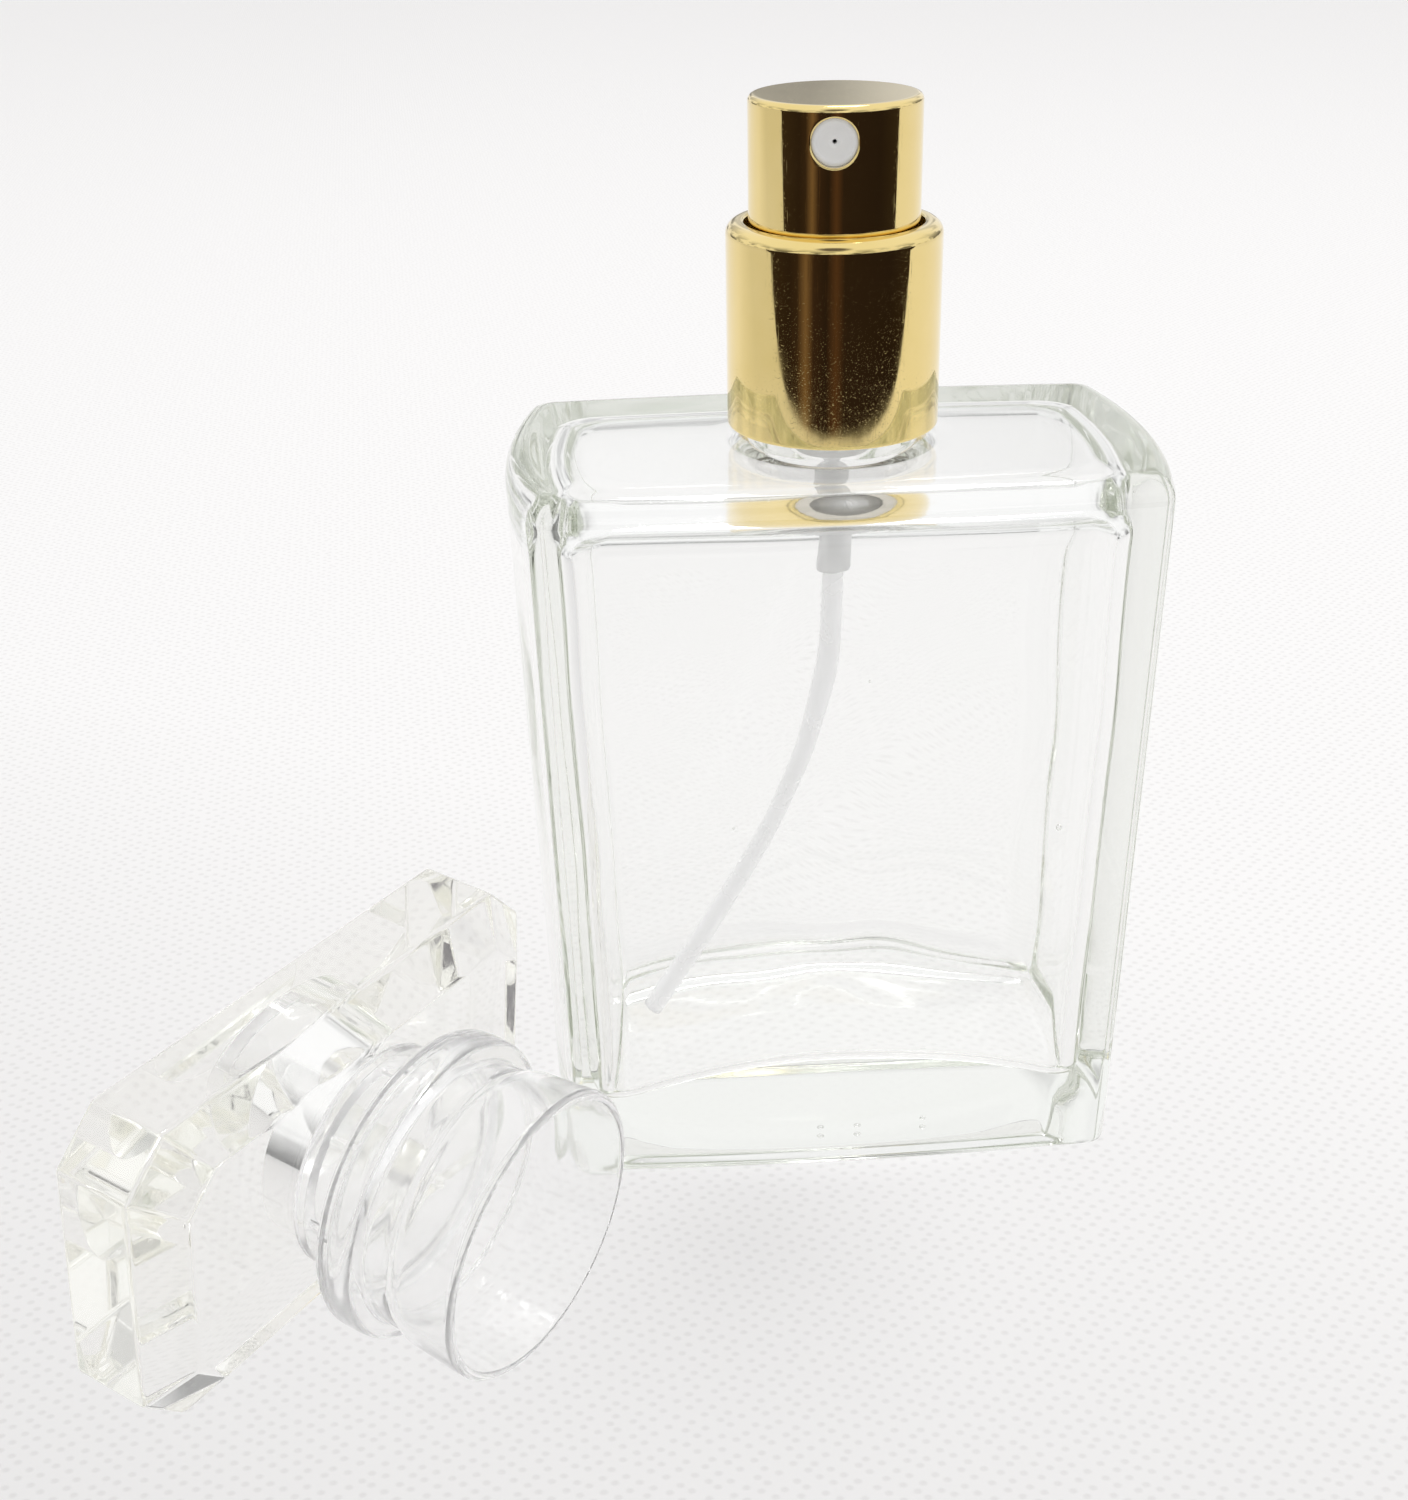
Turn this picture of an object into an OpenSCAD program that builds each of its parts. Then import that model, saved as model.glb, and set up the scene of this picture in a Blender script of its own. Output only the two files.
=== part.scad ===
// Rectangular glass perfume bottle with a screw-on fine-mist sprayer and a clear block cap.
// Millimetres. +Z is up, the bottle stands on Z = 0 and the sprayer's axis is the Z axis.
// The front of the bottle faces -Y. The cap lies beside the bottle, on its long edge.

/* [Bottle] */
// Height of the glass body, base to shoulder
body_h = 65; // [55:1:75]
// Width between the end faces' corners at the base
base_w = 47.9; // [44:0.1:52]
// Width between the end faces' corners at the shoulder
shoulder_w = 51.5; // [48:0.1:56]
// Depth between the corners at the base
base_d = 27; // [25:0.1:32]
// Depth between the corners at the shoulder
shoulder_d = 29.2; // [27:0.1:34]
// How far each end face bulges past its corners
end_bulge = 1.9; // [0.5:0.1:3]
// How far the front and the back bulge past their corners
face_bulge = 0.85; // [0.3:0.05:2]
// Thickness of the glass in the front and the back
face_wall = 3.2; // [2:0.1:4]
// Thickness of the glass in the two ends
end_wall = 3.4; // [2:0.1:5]
// Thickness of the glass in the shoulder
shoulder_wall = 3; // [2:0.1:4]
// Height of the crown of the cavity's floor
floor_z = 10; // [7:0.5:13]
// Size of the rounded shoulder edge
shoulder_edge = 2.3; // [1:0.1:4]
// Size of the rounded foot edge
foot_edge = 1; // [0.5:0.1:2]

/* [Neck and thread] */
// Height of the neck above the shoulder
neck_h = 9; // [8.5:0.1:10]
// Radius of the neck between the threads
neck_r = 6.5; // [6.3:0.1:6.6]
// Radius of the bore through the neck
neck_bore_r = 4.9; // [4.7:0.1:5]
// Rise of the thread for one turn
thread_pitch = 2; // [1.8:0.1:2.4]
// Turns that each thread makes
thread_turns = 1.25; // [1:0.05:1.4]

/* [Collar] */
// Outer radius of the gold collar
collar_r = 8.8; // [8.7:0.1:9]
// Height of the gold collar
collar_h = 16.6; // [16:0.1:18]
// Gap between the shoulder and the collar's lower rim
collar_gap = 1.4; // [1:0.1:2]
// Radius of the opening in the collar's top
collar_mouth_r = 7.3; // [7.1:0.05:7.5]

/* [Actuator] */
// Outer radius of the gold actuator
actuator_r = 6.95; // [6.5:0.05:7]
// Height of the actuator above the collar
actuator_rise = 9.8; // [9:0.1:11]
// How far the actuator presses down
stroke = 4.2; // [3:0.1:4.2]
// Radius of the nozzle insert
nozzle_r = 1.85; // [1.5:0.05:2]
// How far the nozzle stands turned from the front of the bottle, in degrees
nozzle_turn = -7.5; // [-180:0.5:180]

/* [Dip tube] */
// Outer radius of the dip tube
tube_r = 0.9; // [0.8:0.05:1]
// Radius of the tube's upper bend
upper_bend_r = 55; // [45:1:70]
// Angle of the tube's upper bend
upper_bend = 28; // [20:1:32]
// Radius of the tube's lower bend
lower_bend_r = 160; // [120:10:300]
// Angle of the tube's lower bend
lower_bend = 7; // [4:0.5:8]

/* [Cap] */
// Long side of the cap's block
block_l = 48; // [40:0.5:52]
// Short side of the cap's block
block_s = 28; // [27:0.5:30]
// Thickness of the block's side faces
side_t = 6.9; // [6:0.1:8]
// How far each bevel runs along the cap's axis
bevel_t = 2.7; // [2:0.1:3]
// How far each bevel runs in from the side faces
bevel_in = 3.6; // [2:0.1:4]
// Size of the block's four cut corners
corner_cut = 4; // [2:0.1:6]
// Length of the socket outside the block
socket_l = 17.3; // [16:0.1:18]
// Outer radius at the socket's mouth
mouth_r = 12.1; // [11.5:0.1:12.5]
// Outer radius of the ring round the socket
ring_r = 12.8; // [12:0.1:13]
// Where the middle of the block lies on the table, at the start of its side faces
cap_place = [-48.9, -21.4]; // [-80:0.1:80]
// Direction that the socket's mouth points in, in degrees from +X
cap_heading = -35; // [-60:1:-10]

/* [Hidden] */
$fn = 96;
eps = 0.01;
drum_fn = 720;              // sides of the large drums whose arcs make the body's faces

// Heights, from the table up
neck_top = body_h + neck_h;
collar_low = body_h + collar_gap;
collar_top = collar_low + collar_h;
actuator_top = collar_top + actuator_rise;
metal_t = 0.4;              // wall of the gold shells

// Closure
closure_r = collar_r - metal_t;
closure_bore_r = neck_r + 0.85;
gasket_t = 1;
flange_low = neck_top + gasket_t;
flange_t = 1.2;
flange_top = flange_low + flange_t;
web_t = 1;
thread_depth = 0.7;
thread_low = neck_top - 4.7;
// Fillet from the shoulder into the neck, as steps of width past the neck and height
neck_fillet = [[2.7, -0.1], [1.5, 0.6], [0.5, 1.3], [0, 2.2]];
lip_chamfer = 0.4;
floor_drum_r = 57;          // the cavity's domed floor is part of a drum of this radius
cavity_low = 4;             // where the cavity's walls start, under that dome
cavity_low_edge = 1;
cavity_high_edge = 3;

// Pump, with the stem at rest
barrel_r = 4.3;
chamber_r = 3.3;
chamber_floor = neck_top - 10;
upper_r = 4.9;              // housing above its flange, and the turret on it
seal_low = neck_top + 3.6;
seal_t = 0.8;
turret_low = seal_low + seal_t;
turret_plug_r = 3.9;
turret_plug_t = 0.8;
turret_head_t = 0.8;
tail_r = 1.45;
tail_low = chamber_floor - 10.7;
tube_socket = 2.3;          // depth of the dip tube in the tail
inlet_r = 0.55;
stem_r = 2;
stem_bore_r = 0.8;
stem_top = collar_top + 3.6;
running = 0.05;             // radial clearance of everything that slides or turns
stem_flange_r = 2.7;
stem_flange_t = 0.8;
stem_flange_top = neck_top;
piston_t = 2.4;
piston_slip = 0.5;          // how far the piston slips up the stem to open the side ports
stem_stop_t = 0.45;
pin_r = 1.2;
pin_l = 3.4;

// Inlet valve: a ball on a cone that widens by seat_slope for each millimetre of height
ball_r = 1;
ball_lift = 0.6;
seat_low = chamber_floor - 1.7;
seat_slope = 0.7;
seat_h = 1;
cage_r = 1.75;
cage_bore_r = inlet_r + seat_slope * seat_h;
ball_z = seat_low + (ball_r * sqrt(1 + seat_slope * seat_slope) - inlet_r) / seat_slope + eps;
cage_top = ball_z + ball_r + ball_lift + 0.45;

// Return spring
wire_r = 0.25;
coil_r = 2.3;
coils = 6.5;

// Actuator
skirt_low = collar_top - 1.4;
nozzle_z = actuator_top - 2.75;
core_r = actuator_r - metal_t;
core_wall = 0.65;
core_block_low = actuator_top - 5;
hub_r = 3.2;
hub_low = collar_top + 1.4;

// Cap, along its own axis from the middle of the block's back face
block_t = side_t + 2 * bevel_t;
socket_depth = 9.6;         // depth of the blind bore in the block
plug_r = 8.5;
plug_gap = 0.05;            // room for the cement round the plug
plug_bore_r = 7.45;
plug_web = 0.8;             // wall across the plug's end
grip_r = collar_r + 0.12;   // bore that slides over the gold collar
liner_neck_r = 9.6;         // between the block and the ring
ring_low = 4.6;             // the ring's lower edge, past the block's front face
ring_w = 3.4;
ring_edge = 1.1;            // rounding of the ring's two edges
groove_r = 11.2;            // behind the ring
groove_w = 2.3;
skirt_bore_r = 10.3;        // between the grip and the mouth's skirt
cap_tilt = atan2(block_s / 2 - mouth_r, bevel_t + socket_l);
rib_count = 8;
rib = [0.3, 0.5, 3];        // height, width and length of a grip rib

// A drum whose side makes one face of the body. It has a cut lower edge and a rounded upper edge,
// and it reaches below its foot because it leans about the foot of that face.
module drum(r, h, low_edge, high_edge) {
    below = 2 * low_edge;
    rotate_extrude($fn = drum_fn)
        polygon(concat(
            [[0, -below], [r - low_edge - below, -below], [r, low_edge]],
            [for (a = [0:22.5:90]) [r - high_edge * (1 - cos(a)), h - high_edge * (1 - sin(a))]],
            [[0, h]]));
}

function drum_radius(half_chord, bulge) = (half_chord * half_chord + bulge * bulge) / (2 * bulge);

// The body between four bulging, leaning faces. inset_e and inset_f move the ends and the front
// and back inwards.
module cushion(h, inset_e, inset_f, low_edge, high_edge) {
    end_r = drum_radius((base_d + shoulder_d) / 4, end_bulge) - inset_e;
    face_r = drum_radius((base_w + shoulder_w) / 4, face_bulge) - inset_f;
    end_lean = atan2((shoulder_w - base_w) / 2, body_h);
    face_lean = atan2((shoulder_d - base_d) / 2, body_h);
    module end_face() {
        translate([base_w / 2 + end_bulge - inset_e, 0, 0]) rotate([0, end_lean, 0])
            translate([-end_r, 0, 0]) drum(end_r, h, low_edge, high_edge);
    }
    module long_face() {
        translate([0, inset_f - base_d / 2 - face_bulge, 0]) rotate([face_lean, 0, 0])
            translate([0, face_r, 0]) drum(face_r, h, low_edge, high_edge);
    }
    intersection() {
        translate([-shoulder_w, -shoulder_d, 0]) cube([2 * shoulder_w, 2 * shoulder_d, h]);
        end_face();
        rotate(180) end_face();
        long_face();
        rotate(180) long_face();
    }
}

// A helical ridge. The section is a trapezium between the radii root and crest, and its middle
// starts at height z.
module thread_ridge(root, crest, z) {
    steps = round(thread_turns * 28);
    root_w = 0.9;
    crest_w = 0.4;
    section = [[root, -root_w / 2], [crest, -crest_w / 2], [crest, crest_w / 2], [root, root_w / 2]];
    points = [for (i = [0:steps], p = section)
        let (a = 360 * thread_turns * i / steps)
        [p[0] * cos(a), p[0] * sin(a), z + p[1] + thread_pitch * a / 360]];
    outward = crest > root;
    side = function(a, b) outward ? [a, b, b + 4, a + 4] : [a + 4, b + 4, b, a];
    faces = concat(
        [for (i = [0:steps - 1], k = [0:3]) side(4 * i + k, 4 * i + (k + 1) % 4)],
        outward ? [[3, 2, 1, 0], [for (k = [0:3]) 4 * steps + k]]
                : [[0, 1, 2, 3], [for (k = [3:-1:0]) 4 * steps + k]]);
    polyhedron(points, faces, convexity = 4);
}

module ring(r_out, r_in, z, h) {
    translate([0, 0, z]) difference() {
        cylinder(r = r_out, h = h);
        translate([0, 0, -1]) cylinder(r = r_in, h = h + 2);
    }
}

module glass_bottle() {
    cavity_top = body_h - shoulder_wall;
    foot_r = neck_r + neck_fillet[0][0];
    color([0.86, 0.93, 0.9, 0.35]) difference() {
        union() {
            cushion(body_h, 0, 0, foot_edge, shoulder_edge);
            rotate_extrude() polygon(concat(
                [[0, cavity_top + 1], [foot_r, cavity_top + 1]],
                [for (p = neck_fillet) [neck_r + p[0], body_h + p[1]]],
                [[neck_r, neck_top - lip_chamfer], [neck_r - lip_chamfer, neck_top], [0, neck_top]]));
            thread_ridge(neck_r - 0.2, neck_r + thread_depth, thread_low);
        }
        difference() {
            translate([0, 0, cavity_low])
                cushion(cavity_top - cavity_low, end_wall, face_wall, cavity_low_edge, cavity_high_edge);
            translate([0, 40, floor_z - floor_drum_r]) rotate([90, 0, 0])
                cylinder(r = floor_drum_r, h = 80, $fn = 240);
        }
        translate([0, 0, cavity_top - 1]) cylinder(r = neck_bore_r, h = neck_h + shoulder_wall + 2);
    }
}

module neck_gasket() {
    color("whitesmoke") ring(neck_r + 0.2, barrel_r, neck_top, gasket_t);
}

module screw_closure() {
    low = collar_low + 0.4;
    top = flange_top + web_t;
    color("ivory") {
        difference() {
            translate([0, 0, low]) cylinder(r = closure_r, h = top - low);
            translate([0, 0, low - 1]) cylinder(r = closure_bore_r, h = flange_top - low + 1);
            translate([0, 0, low]) cylinder(r = upper_r + 0.15, h = top);
        }
        thread_ridge(closure_bore_r + 0.2, closure_bore_r - thread_depth, thread_low - thread_pitch / 2);
    }
}

// Drawn gold cup. Its upper edge rolls inwards to the opening that the actuator moves in.
module collar_shell() {
    edge = 1;
    arc = [for (a = [0:15:90]) a];
    color("goldenrod") rotate_extrude() polygon(concat(
        [[collar_r - metal_t, collar_low], [collar_r, collar_low]],
        [for (a = arc) [collar_r - edge * (1 - cos(a)), collar_top - edge * (1 - sin(a))]],
        [[collar_mouth_r, collar_top], [collar_mouth_r, collar_top - metal_t]],
        [for (a = [90:-15:0])
            [collar_r - edge + (edge - metal_t) * cos(a), collar_top - edge + (edge - metal_t) * sin(a)]]));
}

// Injection-moulded barrel that hangs in the neck from its flange.
module pump_housing() {
    color([0.93, 0.94, 0.92]) difference() {
        rotate_extrude() polygon([
            [inlet_r, tail_low], [tail_r, tail_low], [tail_r, chamber_floor - 2.8],
            [barrel_r, chamber_floor - 1.4], [barrel_r, flange_low], [neck_r + 0.3, flange_low],
            [neck_r + 0.3, flange_top], [upper_r, flange_top], [upper_r, turret_low + turret_plug_t],
            [turret_plug_r, turret_low + turret_plug_t], [turret_plug_r, turret_low],
            [chamber_r, turret_low], [chamber_r, chamber_floor], [cage_r, chamber_floor],
            [cage_r, cage_top], [ball_r - 0.2, cage_top], [ball_r - 0.2, cage_top - 0.35],
            [cage_bore_r, cage_top - 0.35], [cage_bore_r, seat_low + seat_h], [inlet_r, seat_low]]);
        translate([0, 0, tail_low - eps]) cylinder(r = tube_r, h = tube_socket + eps);
    }
}

// Snap-in guide that closes the barrel and stops the stem.
module pump_turret() {
    color("white") difference() {
        union() {
            translate([0, 0, turret_low]) cylinder(r = turret_plug_r, h = turret_plug_t);
            translate([0, 0, turret_low + turret_plug_t]) cylinder(r = upper_r, h = turret_head_t);
        }
        translate([0, 0, turret_low - 1]) cylinder(r = stem_r + running, h = 5);
    }
}

module stem_seal() {
    color([0.35, 0.35, 0.36]) ring(chamber_r, stem_r + running, seal_low, seal_t);
}

module inlet_ball() {
    color("silver") translate([0, 0, ball_z]) sphere(r = ball_r);
}

// Compression spring between the chamber's floor and the stem's flange.
module return_spring() {
    sides = 8;
    per_turn = 16;
    low = chamber_floor + wire_r + 0.02;
    high = stem_flange_top - stem_flange_t - wire_r - 0.02;
    steps = coils * per_turn;
    points = [for (i = [0:steps], k = [0:sides - 1])
        let (a = 360 * i / per_turn, b = 360 * k / sides, r = coil_r + wire_r * cos(b))
        [r * cos(a), r * sin(a), low + (high - low) * i / steps + wire_r * sin(b)]];
    faces = concat(
        [for (i = [0:steps - 1], k = [0:sides - 1])
            let (n = (k + 1) % sides, a = sides * i)
            [a + k, a + n, a + sides + n, a + sides + k]],
        [[for (k = [sides - 1:-1:0]) k], [for (k = [0:sides - 1]) sides * steps + k]]);
    color("silver") polyhedron(points, faces, convexity = 8);
}

// Two-lipped piston that slips on the stem and uncovers the side ports.
module piston() {
    lip = 0.35;
    low = stem_flange_top;
    outer = chamber_r - 0.03;
    color("white") rotate_extrude() polygon([
        [stem_r + running, low], [outer - lip, low], [outer, low + 0.2], [outer - 0.25, low + 0.9],
        [outer - 0.25, low + piston_t - 0.9], [outer, low + piston_t - 0.2],
        [outer - lip, low + piston_t], [stem_r + running, low + piston_t]]);
}

// Hollow stem with a spring pin below, a flange under the piston and a stop under the seal.
module stem() {
    flange_bottom = stem_flange_top - stem_flange_t;
    stop_low = stem_flange_top + piston_t + piston_slip + 0.05;
    port_r = 0.19;
    color("white") difference() {
        rotate_extrude() polygon([
            [0, flange_bottom - pin_l], [pin_r - 0.3, flange_bottom - pin_l], [pin_r, flange_bottom - pin_l + 0.3],
            [pin_r, flange_bottom], [stem_flange_r, flange_bottom], [stem_flange_r, stem_flange_top],
            [stem_r, stem_flange_top], [stem_r, stop_low], [stem_flange_r, stop_low],
            [stem_flange_r, stop_low + stem_stop_t], [stem_r, stop_low + stem_stop_t],
            [stem_r, stem_top - 0.3], [stem_r - 0.3, stem_top], [0, stem_top]]);
        translate([0, 0, stem_flange_top + 0.01]) cylinder(r = stem_bore_r, h = stem_top);
        translate([0, 0, stem_flange_top + 0.21]) rotate([90, 0, 0])
            cylinder(r = port_r, h = 6, center = true, $fn = 24);
    }
}

// One hollow sweep: the tube leaves the tail straight and bends in two arcs towards the left
// corner of the floor. Each ring of points lies square to the tube, which leans by its angle.
module dip_tube() {
    sides = 12;
    bend_top = tail_low - 0.8;
    low_x = upper_bend_r * (cos(upper_bend) - 1);
    low_z = bend_top - upper_bend_r * sin(upper_bend);
    stations = concat(
        [[0, tail_low + tube_socket, 0]],
        [for (a = [0:2:upper_bend]) [upper_bend_r * (cos(a) - 1), bend_top - upper_bend_r * sin(a), a]],
        [for (a = [upper_bend + 1:1:upper_bend + lower_bend])
            [low_x + lower_bend_r * (cos(a) - cos(upper_bend)), low_z - lower_bend_r * (sin(a) - sin(upper_bend)), a]]);
    points = [for (s = stations, r = [tube_r, inlet_r], k = [0:sides - 1])
        let (b = 360 * k / sides)
        [s[0] + r * cos(b) * cos(s[2]), r * sin(b), s[1] - r * cos(b) * sin(s[2])]];
    last = len(stations) - 1;
    at = function(i, wall, k) 2 * sides * i + sides * wall + k % sides;
    faces = concat(
        [for (i = [0:last - 1], k = [0:sides - 1])
            [at(i, 0, k), at(i, 0, k + 1), at(i + 1, 0, k + 1), at(i + 1, 0, k)]],
        [for (i = [0:last - 1], k = [0:sides - 1])
            [at(i + 1, 1, k), at(i + 1, 1, k + 1), at(i, 1, k + 1), at(i, 1, k)]],
        [for (k = [0:sides - 1]) [at(0, 0, k), at(0, 1, k), at(0, 1, k + 1), at(0, 0, k + 1)]],
        [for (k = [0:sides - 1]) [at(last, 0, k + 1), at(last, 1, k + 1), at(last, 1, k), at(last, 0, k)]]);
    color([0.95, 0.96, 0.95]) polyhedron(points, faces, convexity = 8);
}

// Turns and lifts its children to the nozzle: their +Z points out of the spray hole.
module at_nozzle() {
    rotate(nozzle_turn) translate([0, 0, nozzle_z]) rotate([90, 0, 0]) children();
}

// Moulded inside of the actuator: socket for the stem, channel, and pocket for the nozzle.
module actuator_core() {
    pocket_bottom = 3.4;
    top = actuator_top - metal_t;
    color("ivory") difference() {
        rotate_extrude() polygon([
            [0, hub_low], [hub_r, hub_low], [hub_r, core_block_low], [core_r - core_wall, core_block_low],
            [core_r - core_wall, skirt_low + 0.2], [core_r, skirt_low + 0.2], [core_r, top - 0.5],
            [core_r - 0.5, top], [0, top]]);
        translate([0, 0, hub_low - 1]) cylinder(r = stem_r + 0.03, h = stem_top - hub_low + 1 + eps);
        translate([0, 0, stem_top]) cylinder(r = stem_bore_r, h = nozzle_z - stem_top);
        at_nozzle() cylinder(r = 0.5, h = pocket_bottom + 1);
        at_nozzle() translate([0, 0, pocket_bottom]) cylinder(r = nozzle_r, h = 6);
    }
}

// Drawn gold thimble with a round hole for the nozzle.
module actuator_shell() {
    top = actuator_top;
    edge = 0.5;
    color("goldenrod") difference() {
        rotate_extrude() polygon(concat(
            [[core_r, skirt_low], [actuator_r, skirt_low]],
            [for (a = [0:15:90]) [actuator_r - edge * (1 - cos(a)), top - edge * (1 - sin(a))]],
            [[0, top], [0, top - metal_t], [core_r - 0.5, top - metal_t], [core_r, top - metal_t - 0.5]]));
        at_nozzle() translate([0, 0, 4]) cylinder(r = nozzle_r, h = 6);
    }
}

// Nozzle insert: swirl gap behind it, fine orifice and a shallow dished face.
module nozzle_insert() {
    low = 3.6;
    face = actuator_r - 0.55;
    color("white") at_nozzle() rotate_extrude() polygon([
        [0.15, low], [nozzle_r, low], [nozzle_r, face], [nozzle_r - 0.35, face],
        [nozzle_r - 0.6, face - 0.2], [0.4, face - 0.3], [0.15, face - 0.6]]);
}

// Lays the cap down: its axis runs from the block's back face to the socket's mouth, it rests on
// the long lower edge of the block and on the rim of the mouth.
module laid_down() {
    lift = side_t * sin(cap_tilt) + block_s / 2 * cos(cap_tilt);
    translate([cap_place[0], cap_place[1], lift]) rotate([0, 0, cap_heading]) rotate([0, 90 + cap_tilt, 0])
        translate([0, 0, -bevel_t]) children();
}

module octagon(inset) {
    x = block_s / 2 - inset;
    y = block_l / 2 - inset;
    c = corner_cut - inset * 0.3;
    polygon([[x, y - c], [x - c, y], [c - x, y], [-x, y - c], [-x, c - y], [c - x, -y], [x - c, -y], [x, c - y]]);
}

// Cut-cornered clear block with bevels round both faces and a blind bore for the liner.
module cap_block() {
    color([0.95, 0.95, 0.9, 0.3]) laid_down() difference() {
        hull() {
            linear_extrude(block_t) octagon(bevel_in);
            translate([0, 0, bevel_t]) linear_extrude(side_t) octagon(0);
        }
        translate([0, 0, block_t - socket_depth]) cylinder(r = plug_r + plug_gap, h = socket_depth + 1);
    }
}

// Clear stepped sleeve: a plug in the block, a grip for the collar, a ring and an open skirt.
module cap_liner() {
    face = block_t;
    mouth = face + socket_l;
    plug_low = face - socket_depth;
    grip_low = face + plug_web;
    ring_a = face + ring_low;
    ring_b = ring_a + ring_w;
    skirt_a = ring_b + 0.3 + groove_w;
    lip = 0.3;
    arc = [for (a = [0:15:90]) a];
    color([0.96, 0.96, 0.95, 0.4]) laid_down() {
        rotate_extrude() polygon(concat(
            [[0, plug_low], [plug_r, plug_low], [plug_r, face], [liner_neck_r, face], [liner_neck_r, ring_a]],
            [for (a = arc) [ring_r - ring_edge * (1 - sin(a)), ring_a + ring_edge * (1 - cos(a))]],
            [for (a = arc) [ring_r - ring_edge * (1 - cos(a)), ring_b - ring_edge * (1 - sin(a))]],
            [[groove_r, ring_b + 0.3], [groove_r, skirt_a], [mouth_r - 0.4, skirt_a + 1],
             [mouth_r, mouth - lip], [mouth_r - lip, mouth], [mouth_r - 0.8, mouth],
             [mouth_r - 1.3, skirt_a + 1.2], [skirt_bore_r, ring_b + 2], [skirt_bore_r, ring_a + 0.4],
             [grip_r, ring_a], [grip_r, grip_low], [plug_bore_r, grip_low],
             [plug_bore_r, plug_low + plug_web], [0, plug_low + plug_web]]));
        for (i = [0:rib_count - 1])
            rotate(i * 360 / rib_count) translate([grip_r - 0.08, -rib[1] / 2, grip_low + 0.7]) cube(rib);
    }
}

glass_bottle();
neck_gasket();
screw_closure();
collar_shell();
pump_housing();
pump_turret();
stem_seal();
inlet_ball();
return_spring();
piston();
stem();
dip_tube();
actuator_core();
actuator_shell();
nozzle_insert();
cap_block();
cap_liner();
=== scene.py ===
# %% [markdown]
# # A glass perfume bottle with a gold sprayer and a clear cap
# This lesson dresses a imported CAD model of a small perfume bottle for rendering. The CAD nodes
# stay where they are, and finer surfaces are computed for the glass, the gold shells, the dip
# tube and the cap. Every surface is a grid of two parameters, worked out with numpy as whole
# arrays, because glass and polished metal show each facet of a coarse shape.

# %% Load the frame
import bpy
import numpy as np
from mathutils import Matrix, Vector


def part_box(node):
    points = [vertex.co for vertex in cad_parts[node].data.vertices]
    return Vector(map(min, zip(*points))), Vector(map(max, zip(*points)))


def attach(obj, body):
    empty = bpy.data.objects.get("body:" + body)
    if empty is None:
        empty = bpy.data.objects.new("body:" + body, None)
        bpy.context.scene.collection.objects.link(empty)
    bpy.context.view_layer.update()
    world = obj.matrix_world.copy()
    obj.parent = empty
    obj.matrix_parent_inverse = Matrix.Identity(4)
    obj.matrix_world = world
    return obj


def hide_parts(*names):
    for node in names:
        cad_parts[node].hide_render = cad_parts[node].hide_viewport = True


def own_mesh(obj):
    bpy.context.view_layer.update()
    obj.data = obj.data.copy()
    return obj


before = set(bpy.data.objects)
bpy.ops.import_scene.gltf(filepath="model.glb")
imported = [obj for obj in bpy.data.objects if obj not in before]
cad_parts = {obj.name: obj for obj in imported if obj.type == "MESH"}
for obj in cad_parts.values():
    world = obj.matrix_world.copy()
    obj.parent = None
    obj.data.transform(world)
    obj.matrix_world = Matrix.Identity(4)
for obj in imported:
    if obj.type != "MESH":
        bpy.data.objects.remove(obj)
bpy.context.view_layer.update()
print("CAD nodes:", sorted(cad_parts))

# %% [markdown]
# ## Camera
# The bottle is seen a little from its left and from above, through a normal lens. The camera is
# placed by its position and by the three directions it holds: right, up and backwards. These
# make the columns of its matrix, which avoids any confusion about the order of turns.

# %% Camera
CAMERA_PLACE = (-0.02129, -0.16676, 0.11743)
CAMERA_RIGHT = (0.9975, -0.0681, -0.0172)
CAMERA_FORWARD = (0.0537, 0.8974, -0.4380)
LENS_MM = 49.51


def place_camera():
    """Camera whose matrix has the columns right, up = right x forward, and minus forward."""
    forward = np.array(CAMERA_FORWARD) / np.linalg.norm(CAMERA_FORWARD)
    right = np.array(CAMERA_RIGHT) - forward * np.dot(CAMERA_RIGHT, forward)
    right /= np.linalg.norm(right)
    up = np.cross(right, forward)
    rows = [[right[i], up[i], -forward[i], CAMERA_PLACE[i]] for i in range(3)]
    camera = bpy.data.objects.new("studio_camera", bpy.data.cameras.new("studio_camera"))
    camera.data.lens = LENS_MM
    camera.data.clip_start = 0.005
    camera.data.clip_end = 20
    camera.matrix_world = Matrix(rows + [[0, 0, 0, 1]])
    bpy.context.scene.collection.objects.link(camera)
    bpy.context.scene.camera = camera
    return camera


print("Camera at", tuple(place_camera().location))

# %% [markdown]
# ## From arrays to a mesh
# A surface is a stack of rings, an array of rows x columns x 3. Neighbouring rings are joined by
# quads. An end that closes on a point gets a fan of triangles, and a section that closes on
# itself, such as a washer's, has its last ring joined to its first. Rings run anticlockwise seen
# from above, and rows run up the outside and down the inside, so faces point out of the material.

# %% Rings into a mesh
MM = 0.001


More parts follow.
